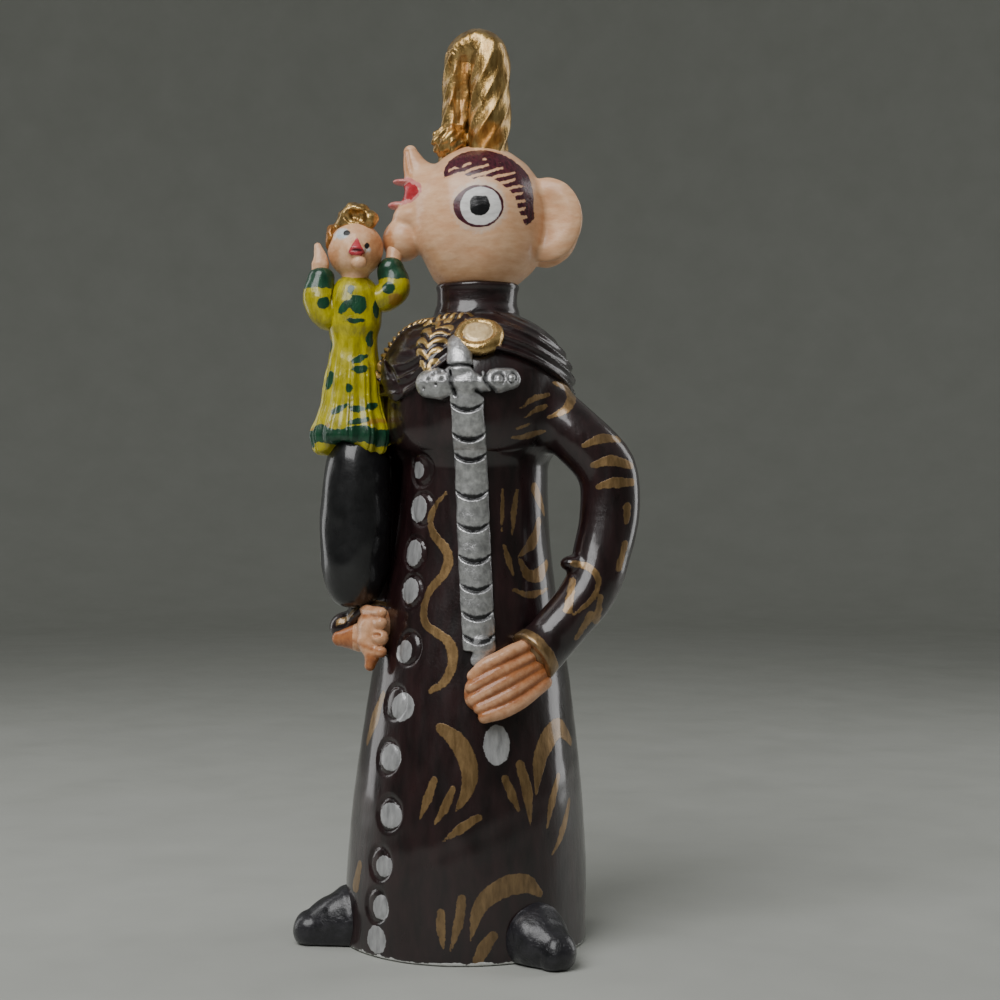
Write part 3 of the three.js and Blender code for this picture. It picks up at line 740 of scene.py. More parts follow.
# %% Collar and mantle
head_height = 49.0
collar_radius = 13.6
collar_height = 16.0
collar_top = chest_top + collar_height * 0.6
mantle_drop = 28.4
mantle_rise = 15.0
mantle_thickness = 1.7
comb_pitch = 4.7
rope_lift = 1.6
rope_pace = 120.0
rope_steps = 48
leaf_pace = 30.0
brooch_azimuth = gaze_turn + 1.5
rope_line = [(12, 208.2), (0, 207.8), (-11, 207.4), (-19, 206.2), (-30, 206.2), (-42, 205.2), (-51, 202.4),
             (-51, 198.4), (-48, 193.6), (-52, 189.4), (-58, 186)]
leaf_line = [(-2, 206), (-5.5, 202), (-4.7, 197), (-3.5, 191.5)]
lappet_line = [(-16, 204), (-30, 199), (-33, 191), (-28, 184)]
fold_lines = [[(-42, 194.6), (-28.2, 189.1), (-20.6, 181.4)], [(-20.6, 181.4), (-19, 186.8), (-12.6, 190.2)]]
leaf_facing = around(0, 0.9, 0.5)


def mantle_edge(azimuth):
    """The height of the mantle's lower edge, which rises to the brooch."""
    away = (azimuth - brooch_azimuth + 180) % 360 - 180
    share = np.minimum(np.abs(away) / np.where(away > 0, 100, 50), 1)
    return chest_top - mantle_drop + mantle_rise * (1 + np.cos(math.pi * share)) / 2


def rope_twist(angle, share):
    return 1 + 0.17 * np.sin(angle * 2 + share * rope_pace)


def leaf_wave(angle, share):
    """Bars that slant from the leaf's rib to both of its edges."""
    return np.sin(share * leaf_pace + 5 * np.abs(np.sin(angle)))


def leaf_bars(angle, share):
    return 1 + 0.13 * leaf_wave(angle, share)


def rope_and_leaf(places):
    rope = roll(places, laid(rope_line, rope_lift), [1.8, 2.2, 2.4, 2.5, 2.5, 2.4, 2.2, 1.8],
                shape=rope_twist, count=rope_steps)
    leaf = roll(places, laid(leaf_line, 1.7), [3.0, 4.9, 4.5, 2.2], flat=0.42,
                facing=leaf_facing, shape=leaf_bars)
    return rope, leaf


def mantle_field(places):
    """A combed slab over the chest, a collar with two rings, and the lappet with its trim."""
    height = places[:, 2]
    over = height - mantle_edge(azimuth_of(places))
    ridge = 1 - np.abs(np.sin(math.pi * over / comb_pitch))
    combed = 1.5 * (ridge - 0.45) * np.clip(1.5 - over / 14, 0, 1)
    slab = chest_field(places) - mantle_thickness - combed
    slab = within(slab, -over * 0.8 - 0.6, 1.2)
    away = np.hypot(places[:, 0], places[:, 1])
    ring = 0.7 * press(height - collar_top + 9, 1.6) + 0.5 * press(height - collar_top + 1.0, 1.2)
    flare = 2.2 * np.clip((chest_top + 1 - height) / 8, 0, 1)
    wall = away - collar_radius - ring - flare
    collar = within(within(wall, height - collar_top, 0.8), chest_top - 12 - height, 1)
    lappet = roll(places, laid(lappet_line, 0.8), [5, 8, 7.5, 3.5], flat=0.3, facing=around(-25, 0.9, 0.3))
    whole = joined(1.4, slab, collar, lappet)
    for line in fold_lines:
        whole = cut(whole, roll(places, laid(line, 2.6), [0.7, 1.0, 0.7]), 0.8)
    whole = joined(0.7, whole, *rope_and_leaf(places))
    return whole + uneven(places, 18, 0.22, 7)


mantle = fired("mantle", mantle_field, (-37, -37, 172), (37, 37, collar_top), 0.56)

# %% Gilding on the mantle
places = surfaces["mantle"]
rope, leaf = rope_and_leaf(places)
share, side, lift, _ = beside(places, curve(laid(leaf_line, 1.5)), leaf_facing)
bars = leaf_wave(np.arctan2(side, lift), share)
share, side, _, _ = beside(places, curve(laid(rope_line, rope_lift), rope_steps))
twists = np.sin(share * rope_pace + side * 1.2)
gilded_leaf = np.maximum(leaf - 0.6, -0.05 - bars * 0.8)
gilded_rope = np.maximum(rope - 0.8, -0.25 - twists * 0.8)
mark(mantle, "gilded", np.minimum(gilded_leaf, gilded_rope))
mantle_paint = finish(
    "mantle_paint", aubergine, roughness=0.36, streak=(2.5, 2.5, 1), streak_size=2.6, relief=0.16,
    varnish=0.85, coats=[dict(gold_coat, tones=bright_gold, mark="gilded", roughness=0.36)],
)
dressed(mantle, mantle_paint)

# %% Brooch
brooch_radius = 8.2
brooch_rim = 2.0
brooch_height = chest_top - mantle_drop + mantle_rise + brooch_radius * 0.45
brooch_centre = around(brooch_azimuth, float(chest_radius_at(brooch_height)) + 1, brooch_height)
brooch_tilt = math.radians(47)
brooch_normal = around(brooch_azimuth, math.sin(brooch_tilt), math.cos(brooch_tilt))
boss_radius = 4.9
pale_gold = [(0.72, 0.52, 0.27), (0.90, 0.70, 0.40)]


def brooch_place(places):
    """How far out from the brooch's bed a place is, and how far from the middle."""
    offset = places - brooch_centre
    out = offset @ brooch_normal
    return out, length(offset - out[:, None] * brooch_normal)


def brooch_field(places):
    """A round bed, a rim that is heavier to the right and below, and a low boss."""
    out, away = brooch_place(places)
    offset = places - brooch_centre
    heavier = 0.45 * np.clip(offset[:, 0] - offset[:, 2], -4, 6) / 6
    rim = np.hypot(away - brooch_radius + brooch_rim, out) - brooch_rim - heavier
    bed = within(away - brooch_radius + brooch_rim, np.abs(out + 3.0) - 3.0, 0.8)
    boss = np.hypot(np.maximum(away - 3.4, 0), out - 0.6) - 1.6
    return joined(0.5, rim, bed, boss) + uneven(places, 5, 0.10, 9)


brooch = fired("brooch", brooch_field, brooch_centre - 12, brooch_centre + 12, 0.4)
out, away = brooch_place(surfaces["brooch"])
mark(brooch, "boss", away - boss_radius)
gold_paint = finish(
    "gold_paint", bright_gold, metallic=0.85, roughness=0.26, streak_size=3.0, relief=0.10, grain=0.05,
    varnish=0.5, coats=[dict(mark="boss", tones=pale_gold, metallic=0.6, roughness=0.5, thick=0.0)],
)
dressed(brooch, gold_paint)

# %% [markdown]
# ## Cross and scaled ribbon
# The cross is pressed on as lobes of clay, and the ribbon below it is a strip into which a gouge
# was pushed again and again, so each cut leaves a dark slit under a bright, U-shaped lip. Working
# in the strip's own measures, sideways, up and out, keeps every mark simple.

# %% Cross and ribbon
cross_azimuth = 20.0
cross_height = chest_middle + 1
ribbon_length = 86.0
ribbon_width = 12.4
ribbon_turn = 11.0
ribbon_lips = [176.4, 166.8, 160.3, 148.2, 137.8, 127.4, 118.2, 109.2, 101.8]


def strip_place(places):
    """Sideways, up and out from the middle line of the cross and its ribbon."""
    height = places[:, 2]
    away = np.hypot(places[:, 0], places[:, 1])
    share = np.clip((cross_height - height) / ribbon_length, 0, 1)
    base = body_radius(height)
    hung = chest_radius * (1.02 - 0.3 * np.minimum(1, share * 2))
    base = np.where(share > 0, np.maximum(base, hung), base)
    turn = np.radians(azimuth_of(places) - cross_azimuth - ribbon_turn * share)
    turn = (turn + math.pi) % (2 * math.pi) - math.pi
    return np.stack([turn * base, height - cross_height, away - base], 1)


def lip_bow(side):
    """How much higher a lip stands at its ends than at its middle."""
    return 3.4 * np.square(side / (ribbon_width / 2))


def ribbon_relief(side, height):
    """Out from the strip's face: sunk above each lip, proud just below it."""
    relief = np.zeros(len(side))
    for lip in ribbon_lips:
        over = height + cross_height - lip - lip_bow(side)
        sunk = np.where(over > 0, -1.5 * np.exp(-over / 2.6), 0.55 * np.exp(over / 1.6))
        softened = np.clip(over / 0.35, -1, 1)
        sunk = np.where(np.abs(over) < 0.35, -0.475 - 1.02 * softened, sunk)
        relief += sunk
    inside = np.clip(ribbon_width / 2 - 0.9 - np.abs(side), 0, 1)
    return relief * inside


crack_lines = [
    [(6.4, 3.4), (5.8, 0.2), (8.4, -3.2)], [(0.4, 5.1), (3.2, 4.1), (4.8, 1.9)],
    [(-4.6, 3.4), (-4.4, 0.4), (-3.4, -4.4)], [(7.8, -4.0), (5.2, -4.4), (3.2, -3.2)],
    [(-6.0, 4.8), (-2.0, 5.2), (0.4, 5.1)],
]
hole_places = [(-5.9, 3.4), (-7.5, 2.8), (-9.4, 2.3), (-6.6, 0.6), (-10.8, 0.4), (-8.4, -1.2), (-12.6, -2.2)]
ring_places = [(9.9, 0.6, 1.5), (14.0, 1.0, 1.3)]
ribbon_fullness = 0.86
worked_from = -6.0
top_lobe = [(-1.9, 4.5, 1.3), (-2.3, 9, 1.5), (-3.0, 12.9, 1.4)]
left_lobe = [(-5.2, -0.3, 1.1), (-9.2, -0.7, 1.4), (-11.8, -0.7, 1.3)]
right_lobe = [(5.6, 0.1, 1.1), (9.8, 0.2, 1.4), (13.8, 0.8, 1.2)]
ribbon_tip = [
    (0.8, -ribbon_length, 1.2),
    (0.2, -ribbon_length - 2.4, 1.1),
    (-1.2, -ribbon_length - 4.0, 0.9),
]


def cross_marks(side, height):
    """How far a place on the cross is from its cracks, and from its holes and rings."""
    flat = np.stack([side, height, np.zeros(len(side))], 1)
    crack = unpainted(side)
    for line in crack_lines:
        crack = np.minimum(crack, beside(flat, curve([(x, y, 0) for x, y in line], 8))[3])
    holes = unpainted(side)
    for x, y in hole_places:
        holes = np.minimum(holes, np.hypot(side - x, height - y) - 0.25)
    for x, y, reach in ring_places:
        holes = np.minimum(holes, np.abs(np.hypot(side - x, (height - y) * 0.85) - reach) - 0.15)
    return crack, holes


def cross_field(places):
    """The gouged strip with its tip, and the four lobes and middle of the cross."""
    strip = strip_place(places)
    side, height, out = strip.T
    half = ribbon_width / 2 * ribbon_fullness
    domed = 2.6 - 1.1 * np.square(side / half)
    face = out - domed - ribbon_relief(side, height)
    shaft = within(within(face, np.abs(side) - half, 1.2), -out - 3, 0.5)
    shaft = within(within(shaft, height + 1, 0.5), -height - ribbon_length - 1, 1.0)
    shaft = joined(0.8, shaft, roll(strip, ribbon_tip, [3.9, 3.3, 1.9], flat=0.45))
    middle = (np.abs(side) + np.abs(height)) * 0.35 + np.hypot(side, height) * 0.5 - 3.9
    middle = within(middle, out - 4.0 + 0.05 * (side ** 2 + height ** 2), 1.5)
    middle = within(middle, -out - 2, 1)
    top = roll(strip, top_lobe, [4.2, 4.0, 3.5], flat=0.75)
    left = roll(strip, left_lobe, [3.8, 5.3, 4.8], flat=0.7)
    right = roll(strip, right_lobe, [3.4, 4.2, 3.6], flat=0.72)
    whole = joined(0.6, shaft, middle, top, left, right)
    worked = height > worked_from
    crack, holes = cross_marks(side[worked], height[worked])
    whole[worked] += 1.1 * press(crack, 0.55) + 0.6 * press(np.maximum(holes, 0), 0.4)
    return whole + uneven(places, 6, 0.10, 12)


cross_low = around(cross_azimuth, 34, 94) - [19, 14, 0]
cross_high = around(cross_azimuth, 34, 209) + [19, 18, 0]
cross = fired("cross_and_ribbon", cross_field, cross_low, cross_high, 0.42)

# %% [markdown]
# ## Silver and its dark slits
# The slits, cracks and holes between the raised lips are painted near black: painted shade in those recesses.

# %% Paint on the cross and the ribbon
side, height = strip_place(surfaces["cross_and_ribbon"]).T[:2]
crack, holes = cross_marks(side, height)
# Painted shade: near black in the cracks, in the holes and rings, and in the slit above each lip.
slit = np.where(height > worked_from, np.minimum(crack - 0.5, holes - 0.05), far_off)
for lip in ribbon_lips:
    over = height + cross_height - lip - lip_bow(side)
    thickness = 0.95 - 0.9 * np.square(side / (ribbon_width / 2))
    slit = np.minimum(slit, np.abs(over - 0.8) - thickness)
mark(cross, "slit", slit)
silver_paint = finish(
    "silver_paint", silver, metallic=0.8, roughness=0.38, streak_size=2.2, relief=0.10, grain=0.05,
    varnish=0.5,
    coats=[dict(mark="slit", tones=lamp_black, ragged=0.3, soft=0.3, roughness=0.4, thick=-0.1)],
)
dressed(cross, silver_paint)

# %% [markdown]
# ## Chest, sleeves, cuffs and hands
# Both sleeves are thick rolls, luted to the chest with a wet finger, so there they share one skin.
# A hand is a pad scored with lines, which leaves the fingers as soft ridges side by side. The
# cuffs flare and their rims are gilded.

# %% Lines of the arms
arm_radius = 9.7
arm_reach = 21.0
cuff_radius = 8.6
shoulder_height = chest_middle - 5
left_wrist_height = robe_height * 0.63
right_wrist_height = robe_height * 0.66
left_drop = shoulder_height - left_wrist_height
right_drop = shoulder_height - right_wrist_height
elbow = robe_waist_radius + arm_reach
left_arm = [
    (chest_radius * 0.66, -9, shoulder_height + 1),
    (chest_radius + 1.5, -14, shoulder_height - left_drop * 0.13),
    (elbow - 2, -15, shoulder_height - left_drop * 0.28),
    (elbow - 0.5, -16.5, shoulder_height - left_drop * 0.46),
    (elbow - 3, -19, shoulder_height - left_drop * 0.63),
    (elbow - 7.5, -22.5, shoulder_height - left_drop * 0.8),
    on_body(gaze_turn + 43, left_wrist_height - 1, 5),
]
left_widths = [arm_radius * share for share in (0.95, 0.97, 1.02, 1.02, 0.97, 0.9, 0.84)]
right_arm = [
    (-chest_radius * 0.7, 4, shoulder_height + 2),
    (-chest_radius - 2, 9, shoulder_height - right_drop * 0.2),
    (-robe_waist_radius - arm_radius * 0.8, 10, shoulder_height - right_drop * 0.45),
    (-robe_waist_radius - arm_radius * 0.8, 5, shoulder_height - right_drop * 0.7),
    on_body(gaze_turn - 92, right_wrist_height + 3, 4),
]
right_widths = [arm_radius * share for share in (0.95, 1, 1, 0.95, 0.84)]
left_wrist = gaze_turn + 42
right_wrist = gaze_turn - 88
left_cuff = [
    on_body(left_wrist + 5, left_wrist_height + 1, 6),
    on_body(left_wrist - 6, left_wrist_height - 4, 4),
]
right_cuff = [
    on_body(right_wrist - 8, right_wrist_height + 4, 5),
    on_body(right_wrist + 3, right_wrist_height - 1, 3),
]
elbow_fold = [(32.0, -30, 128.2), (38.5, -32, 127), (41.6, -31, 122), (37, -33, 114)]

# %% Chest, sleeves and cuffs
def cuff_field(places, line):
    """A short flared roll, hollowed where the hand comes out."""
    start, end = line
    axis = unit(end - start)
    body = roll(places, line, [cuff_radius * share for share in (0.9, 1.0, 1.06)], count=6)
    along = (places - end) @ axis
    body = within(body, along - 1.5, 1.2)
    hollow = ball(places, end + axis * 3.2, (6.4, 6.4, 6.4))
    return cut(body, hollow, 1.2)


def torso_field(places):
    """The chest with both sleeves, the knob and fold at the elbow, and a ball on the right cuff."""
    left = roll(places, left_arm, left_widths, count=30)
    right = roll(places, right_arm, right_widths, count=24)
    knob = ball(places, (32.6, -24, 127.5), (3.6, 4.5, 2.6))
    fold = roll(places, elbow_fold, [0.5, 0.8, 0.7, 0.3])
    whole = joined(4.5, chest_field(places) + hand_thrown(places), left, right)
    whole = cut(joined(2.0, whole, knob), fold, 1.2)
    whole = joined(1.0, whole, cuff_field(places, left_cuff), cuff_field(places, right_cuff))
    whole = joined(1.5, whole, ball(places, (-42.6, -0.5, 105.2), (5.4, 5.0, 5.2)))
    return whole + uneven(places, 16, 0.12, 15)


torso = fired("torso", torso_field, (-48, -48, 84), (58, 33, chest_top), 0.75)

# %% [markdown]
# ## Strokes on the chest and the sleeves
# The chest's strokes lie on the body like the robe's. The sleeve bends away from it, so its strokes
# are drawn as seen from the camera, and they fall on whatever clay faces it.

# %% Brush strokes on the sleeves
chest_weight = 0.75
sleeve_strokes = [
    ([(26.2, 186.9), (30.2, 185.5), (31.9, 182.2), (30.2, 178.2), (26.9, 176.2), (24.0, 175.2)],
     [0.7, 1.2, 1.6, 1.5, 1.1, 0.3]),
    ([(36, 166), (42, 168.3), (47.5, 168)], [0.8, 1.7, 1.0]),
    ([(39, 159.5), (45, 161), (51.5, 159.5)], [0.9, 1.9, 1.2]),
    ([(41, 152.6), (46, 153.8), (52, 154)], [0.9, 1.8, 1.2]),
    ([(50.5, 146), (50.3, 141)], [1.3, 0.8]),
    ([(50, 134), (48, 126)], [1.0, 1.1]),
    ([(33, 127.6), (38, 126.5), (41.4, 122), (39, 116), (33, 111)], [1.0, 1.2, 0.9, 0.8, 0.3]),
    ([(33, 122), (31.5, 113)], [1.1, 1.5]),
    ([(39, 111), (34.5, 103.5)], [1.4, 0.7]),
    ([(42, 117), (41, 109)], [0.8, 1.3]),
    ([(-47.8, 106.2), (-44, 108.2), (-39.8, 109.4)], [0.35, 0.5, 0.4]),
    ([(-48.0, 103.6), (-45, 105.4), (-41, 106.8)], [0.35, 0.45, 0.3]),
]


def seen_strokes(places, strokes):
    """Strokes given as seen from the camera, on whatever clay faces it: across and up."""
    nearest = unpainted(places)
    for points, widths in strokes:
        line = [(across, 0, height) for across, height in points]
        nearest = np.minimum(nearest, roll(places * [1, 0, 1], line, widths, count=16))
    return np.maximum(nearest, places[:, 1] + 6)


def cuff_rim(places, line, back, front):
    """A band around a cuff, from a little behind its end to its front."""
    start, end = line
    along = (places - end) @ unit(end - start)
    band = np.maximum(back - along, along - front)
    return np.maximum(band, length(places - end) - cuff_radius - 4)


places = surfaces["torso"]
nearest = np.minimum(cuff_rim(places, left_cuff, -2.2, 1.8), cuff_rim(places, right_cuff, -2.1, 0.1))
nearest = np.minimum(nearest, stroke_distance(places, chest_strokes, chest_weight))
nearest = np.minimum(nearest, seen_strokes(places, sleeve_strokes))
mark(torso, "gold", nearest)
mark(torso, "silver", unpainted(places))
mark(torso, "bare", unpainted(places))
dressed(torso, robe_paint)

# %% [markdown]
# ## Hands
# The left hand is laid flat on the robe, so its ridges follow the robe's roundness. The right one
# is half closed under the companion, with one finger pointing down.

# %% Left hand
left_fingers = [
    [(56, 101.4), (42.8, 98.1), (32.8, 94.7), (27.6, 91.8)],
    [(59, 98.0), (45.3, 94.6), (34.3, 91.3), (26.8, 88.4)],
    [(62, 95.2), (47.8, 91.3), (36.7, 87.8), (27.9, 84.6)],
    [(63, 92.3), (50.8, 88.1), (41.2, 84.9), (30.9, 81.8)],
    [(65, 89.3), (54.5, 85.1), (44.0, 81.4), (33.2, 79.1)],
]
finger_widths = [2.3, 2.5, 2.55, 2.25]
finger_lifts = [5.4, 4.9, 4.3, 3.2]


def left_hand_field(places):
    """A flat palm under five ridges that follow the robe's roundness."""
    fingers = []
    for line in left_fingers:
        ridge = [on_body(azimuth, height, lift) for (azimuth, height), lift in zip(line, finger_lifts)]
        fingers.append(roll(places, ridge, finger_widths, count=14))
    palm_line = [on_body(60, 94, 1.6), on_body(45, 90, 1.0), on_body(34, 86.5, 0.6)]
    palm = roll(places, palm_line, [8.5, 9.0, 7.0], flat=0.36, facing=around(48, 1, 0))
    return joined(0.35, palm, *fingers) + uneven(places, 7, 0.12, 21)


left_hand = fired("left_hand", left_hand_field, (-6, -54, 72), (42, -18, 108), 0.45)

# %% Right hand
right_rows = [(111.3, 111.0, 1.9), (107.9, 107.6, 2.2), (103.9, 102.9, 2.7), (99.9, 98.0, 2.0)]


def right_hand_field(places):
    """Four curled fingers over a ball of a palm, one finger that points down, and a wrist."""
    rows = []
    for outer, inner, radius in right_rows:
        line = [(-37.3, -3, outer), (-34.2, -11.5, (outer + inner) / 2), (-29.4, -18.2, inner)]
        rows.append(roll(places, line, [radius * 0.9, radius, radius * 0.95], count=10))
    palm = ball(places, (-32, -9, 105), (6.2, 9, 7.6))
    pointing = roll(places, [(-33.2, -13.5, 101), (-32.4, -15.8, 97), (-33.0, -16.0, 93.6)],
                    [4.6, 3.1, 1.9], count=8)
    wrist = roll(places, [(-37.6, -6.5, 102), (-44.3, -4.2, 101.3)], [5.0, 2.6], count=4)
    whole = joined(0.8, joined(0.6, palm, *rows), pointing, wrist)
    dent = ball(places, (-31.3, -19.6, 103.7), (2.0, 1.6, 0.8))
    return cut(whole, dent, 0.5) + uneven(places, 7, 0.12, 22)


right_hand = fired("right_hand", right_hand_field, (-47, -24, 88), (-22, 2, 116), 0.42)

# %% [markdown]
# ## Shoes
# Two lumps of clay pushed under the hem, blunt at the toe and flat on the ground.

# %% Shoes
shoe_radius = 11.0
shoe_reach = 17.0
shoe_azimuth = 55.0
soot_black = [(0.006, 0.006, 0.008), (0.032, 0.030, 0.036)]


def shoe_field(places, azimuth):
    near = robe_foot_radius - shoe_radius * 0.6
    far = robe_foot_radius + shoe_reach - shoe_radius * 0.55
    line = [around(azimuth, near, shoe_radius * 0.8), around(azimuth, far, shoe_radius * 0.42)]
    toe = roll(places, line, [shoe_radius * share for share in (1, 1, 0.85, 0.6)], count=10)
    return within(toe + uneven(places, 9, 0.35, 23), -places[:, 2], 1.0)


for name, azimuth in (("right_shoe", -shoe_azimuth), ("left_shoe", shoe_azimuth + 5)):
    tip = around(azimuth, robe_foot_radius + 6, 0)
    field = partial(shoe_field, azimuth=azimuth)
    shoe = fired(name, field, tip - [20, 20, 0], tip + [20, 20, 22], 0.7)
    shoe_paint = finish(name + "_paint", soot_black, roughness=0.35, streak_size=5.0, relief=0.5,
                        varnish=0.6, varnish_roughness=0.22)
    dressed(shoe, shoe_paint)

# %% [markdown]
# ## Head
# A ball of clay narrowed to the collar, with a snub nose, pouting lips and a chin luted on, and
# two thin dished ears. The eyes and brows are only paint.

# %% Head
head_radius = 23.4
head_middle = collar_top + head_height * 0.45
head_thin = 0.93
chin_radius = 7.2
ear_width = 12.5
ear_rise = 14.2
ear_thickness = 3.6
muzzle_front = -26.5
nose_tip = 268.8
groove_top = (-24.7, 266.0)
groove_slant = 0.214
nose_line = [(-20.0, 0, 257), (-22.5, 0, 262), (-24.0, 0, nose_tip - 2.4)]
upper_lip = [(-19.6, 0, 254.0), (-23.0, 0, 255.9), (-25.4, 0, 256.1)]
lower_lip = [(-20.4, 0, 247.7), (-24.0, 0, 247.9), (-26.6, 0, 248.0)]


def skull_field(places):
    half = head_height * 0.52
    return egg(places, (0, 0, head_middle), head_radius, half, half, 1.95, 2.3, head_thin)


def ear_field(places, side):
    """A thin dish of clay, turned a little outward."""
    centre = (head_radius - 1, side * 6, head_middle - 0.8)
    local = turned(places, centre, side * 14, 2)
    size = np.array([ear_width, ear_thickness, ear_rise])
    dish = ball(local, (0, 0, 0), size)
    hollow = ball(local, (-0.6, side * ear_thickness * 1.35, 0), size * [0.86, 1.0, 0.86])
    return cut(dish, hollow, 1.2)


def lip_fields(places):
    upper = roll(places, upper_lip, [5.4, 5.2, 4.2], flat=0.32)
    lower = roll(places, lower_lip, [5.6, 5.6, 4.6], flat=0.32)
    return upper, lower


def beside_groove(places):
    """How far right of the groove in the nose's flank a place lies, as seen from the side."""
    return places[:, 0] - groove_top[0] - groove_slant * (groove_top[1] - places[:, 2])


def head_field(places):
    """The skull with its muzzle, nose, mouth, chin, lips and ears luted on one after another."""
    muzzle = ball(places, (muzzle_front + 9, 0, head_middle + 8), (9, 8.5, 10))
    nose = roll(places, nose_line, [5.8, 4.3, 2.4], flat=0.85, facing=(0, 1, 0))
    chin_size = (chin_radius, chin_radius * 1.05, chin_radius * 1.02)
    chin = ball(places, (-head_radius - 2, 0, head_middle - 6.6), chin_size)
    below_lip = ball(places, (-22.4, 0, 244.0), (6.8, 8.0, 5.2))
    upper, lower = lip_fields(places)
    mouth = ball(places, (muzzle_front - 2.2, 0, 252.2), (3.4, 6.0, 2.6))
    jaw = skull_field(places) + 2.3 * press(np.hypot(places[:, 0] + 21, places[:, 2] - 227), 7)
    whole = cut(joined(3.0, jaw, muzzle, nose, below_lip), mouth, 0.8)
    whole = joined(1.4, whole, chin)
    whole = joined(0.5, whole, upper, lower)
    whole = joined(1.6, whole, ear_field(places, -1), ear_field(places, 1))
    flank = np.clip(places[:, 2] - 257.5, 0, 1) * np.clip(267.5 - places[:, 2], 0, 1) * (places[:, 0] < -20)
    whole = whole + 0.5 * press(beside_groove(places), 0.45) * flank
    return whole + uneven(places, 17, 0.28, 31) + uneven(places, 5, 0.04, 32)


head = fired("head", head_field, (-36, -23, collar_top - 6), (37, 23, 276), 0.5)

# %% [markdown]
# ## Painted eyes, brows and lips
# Eye and brow are seen from the side, so their marks are drawn in that view, around the middle of
# the eye, and both cheeks get them. The brow is a crescent that a comb was drawn through from below.

# %% Marks of the eye
places = surfaces["head"]
eye_across = 0.3
eye_height = 244.8
cheek_depth = 9.0
across = places[:, 0] - eye_across
rise = places[:, 2] - eye_height
inward = cheek_depth - np.abs(places[:, 1])


def oval(half_width, half_height, middle=0.0):
    """The distance to an upright oval around the eye, on both cheeks."""
    reach = np.hypot(across / half_width, (rise - middle) / half_height)
    return np.maximum((reach - 1) * min(half_width, half_height), inward)


ring = oval(7.5, 6.75)
ring_width = 0.34 + 0.75 * np.clip(-across / 7, 0, 1) * np.clip(1.3 - np.abs(rise) / 6, 0, 1)
mark(head, "eye_halo", oval(9.0, 8.7))
mark(head, "eye_white", ring)
mark(head, "eye_ring", np.abs(ring) - ring_width)
mark(head, "pupil", np.maximum(oval(3.4, 3.7, 0.3), rise - 3.3))

# %% Marks of the brow
brow_start = -21
brow_end = 140
brow_outer = [(brow_start, 16.2), (-16, 17.4), (-9, 18.4), (1, 17.8), (14, 18.2), (25, 19.0), (37, 20.0),
              (62, 20.1), (88, 20.2), (112, 20.2), (123, 19.5), (132, 18.0), (brow_end, 15.6)]
brow_inner = [(brow_start, 16.2), (-13, 14.2), (-2, 12.5), (15, 12.0), (29, 11.1), (43, 10.3), (64, 10.2),
              (83, 10.1), (103, 9.3), (118, 12.0), (125, 13.4), (138, 15.3), (brow_end, 15.6)]
comb_period = 2.7
comb_slant = 0.35
comb_depth = 0.52

bearing = np.degrees(np.arctan2(rise, across))
from_eye = np.hypot(across, rise)
outer = np.interp(bearing, *zip(*brow_outer))
inner = np.interp(bearing, *zip(*brow_inner))
crescent = np.maximum(from_eye - outer, inner - from_eye)
part = (from_eye - inner) / np.maximum(outer - inner, 0.5)
drawn = rise - comb_slant * across + 0.12 * np.sin(across * 0.9)
teeth = np.cos(2 * math.pi * drawn / comb_period)
reached = comb_depth + 0.16 * np.sin(bearing * 0.31)
gap = np.minimum((reached - part) * 6, (teeth - 0.20 - 0.3 * part) * 0.5)
beyond = np.maximum(bearing - brow_end, brow_start - bearing) * 0.3
brow = np.maximum(np.maximum(crescent, gap), np.maximum(beyond, inward))
mark(head, "brow", brow)
print("brow covers", int((brow < 0).sum()), "of", len(places), "corners of the head")

# %% Marks of the mouth, and painted shade
upper, lower = lip_fields(places)
lip_edges = [
    [(-27.0, 0, 256.4), (-24.2, 0, 256.3), (-21.8, 0, 254.9), (-20.0, 0, 253.3), (-19.8, 0, 251.4)],
    [(-28.6, 0, 248.2), (-25, 0, 248.7), (-22.6, 0, 248.8), (-20.6, 0, 250.2)],
]
painted_lips = np.minimum(upper, lower) - 0.3
for line in lip_edges:
    painted_lips = np.minimum(painted_lips, roll(places * [1, 0, 1], line, [0.8, 0.8, 0.6, 0.4], count=10))
mark(head, "lips", np.maximum(painted_lips, places[:, 0] + 19.4))
mouth_edge = np.interp(places[:, 2], [248.6, 251.5, 254.2, 256.2], [-22.4, -20.2, -21.3, -24.4])
mark(head, "mouth", np.maximum(np.abs(places[:, 2] - 252.4) - 3.8, places[:, 0] - mouth_edge))
# Painted shade: the chin's left facet and the nose's flank left of its groove are coloured darker, as where
# shade falls on them.
chin_facet = places[:, 0] + 30.4 - 0.305 * (241 - places[:, 2])
chin_facet = np.maximum(chin_facet, np.abs(places[:, 2] - 236) - 7)
nose_flank = np.maximum(beside_groove(places), np.abs(places[:, 2] - 262.5) - 5.5)
mark(head, "shade", np.minimum(chin_facet, nose_flank))

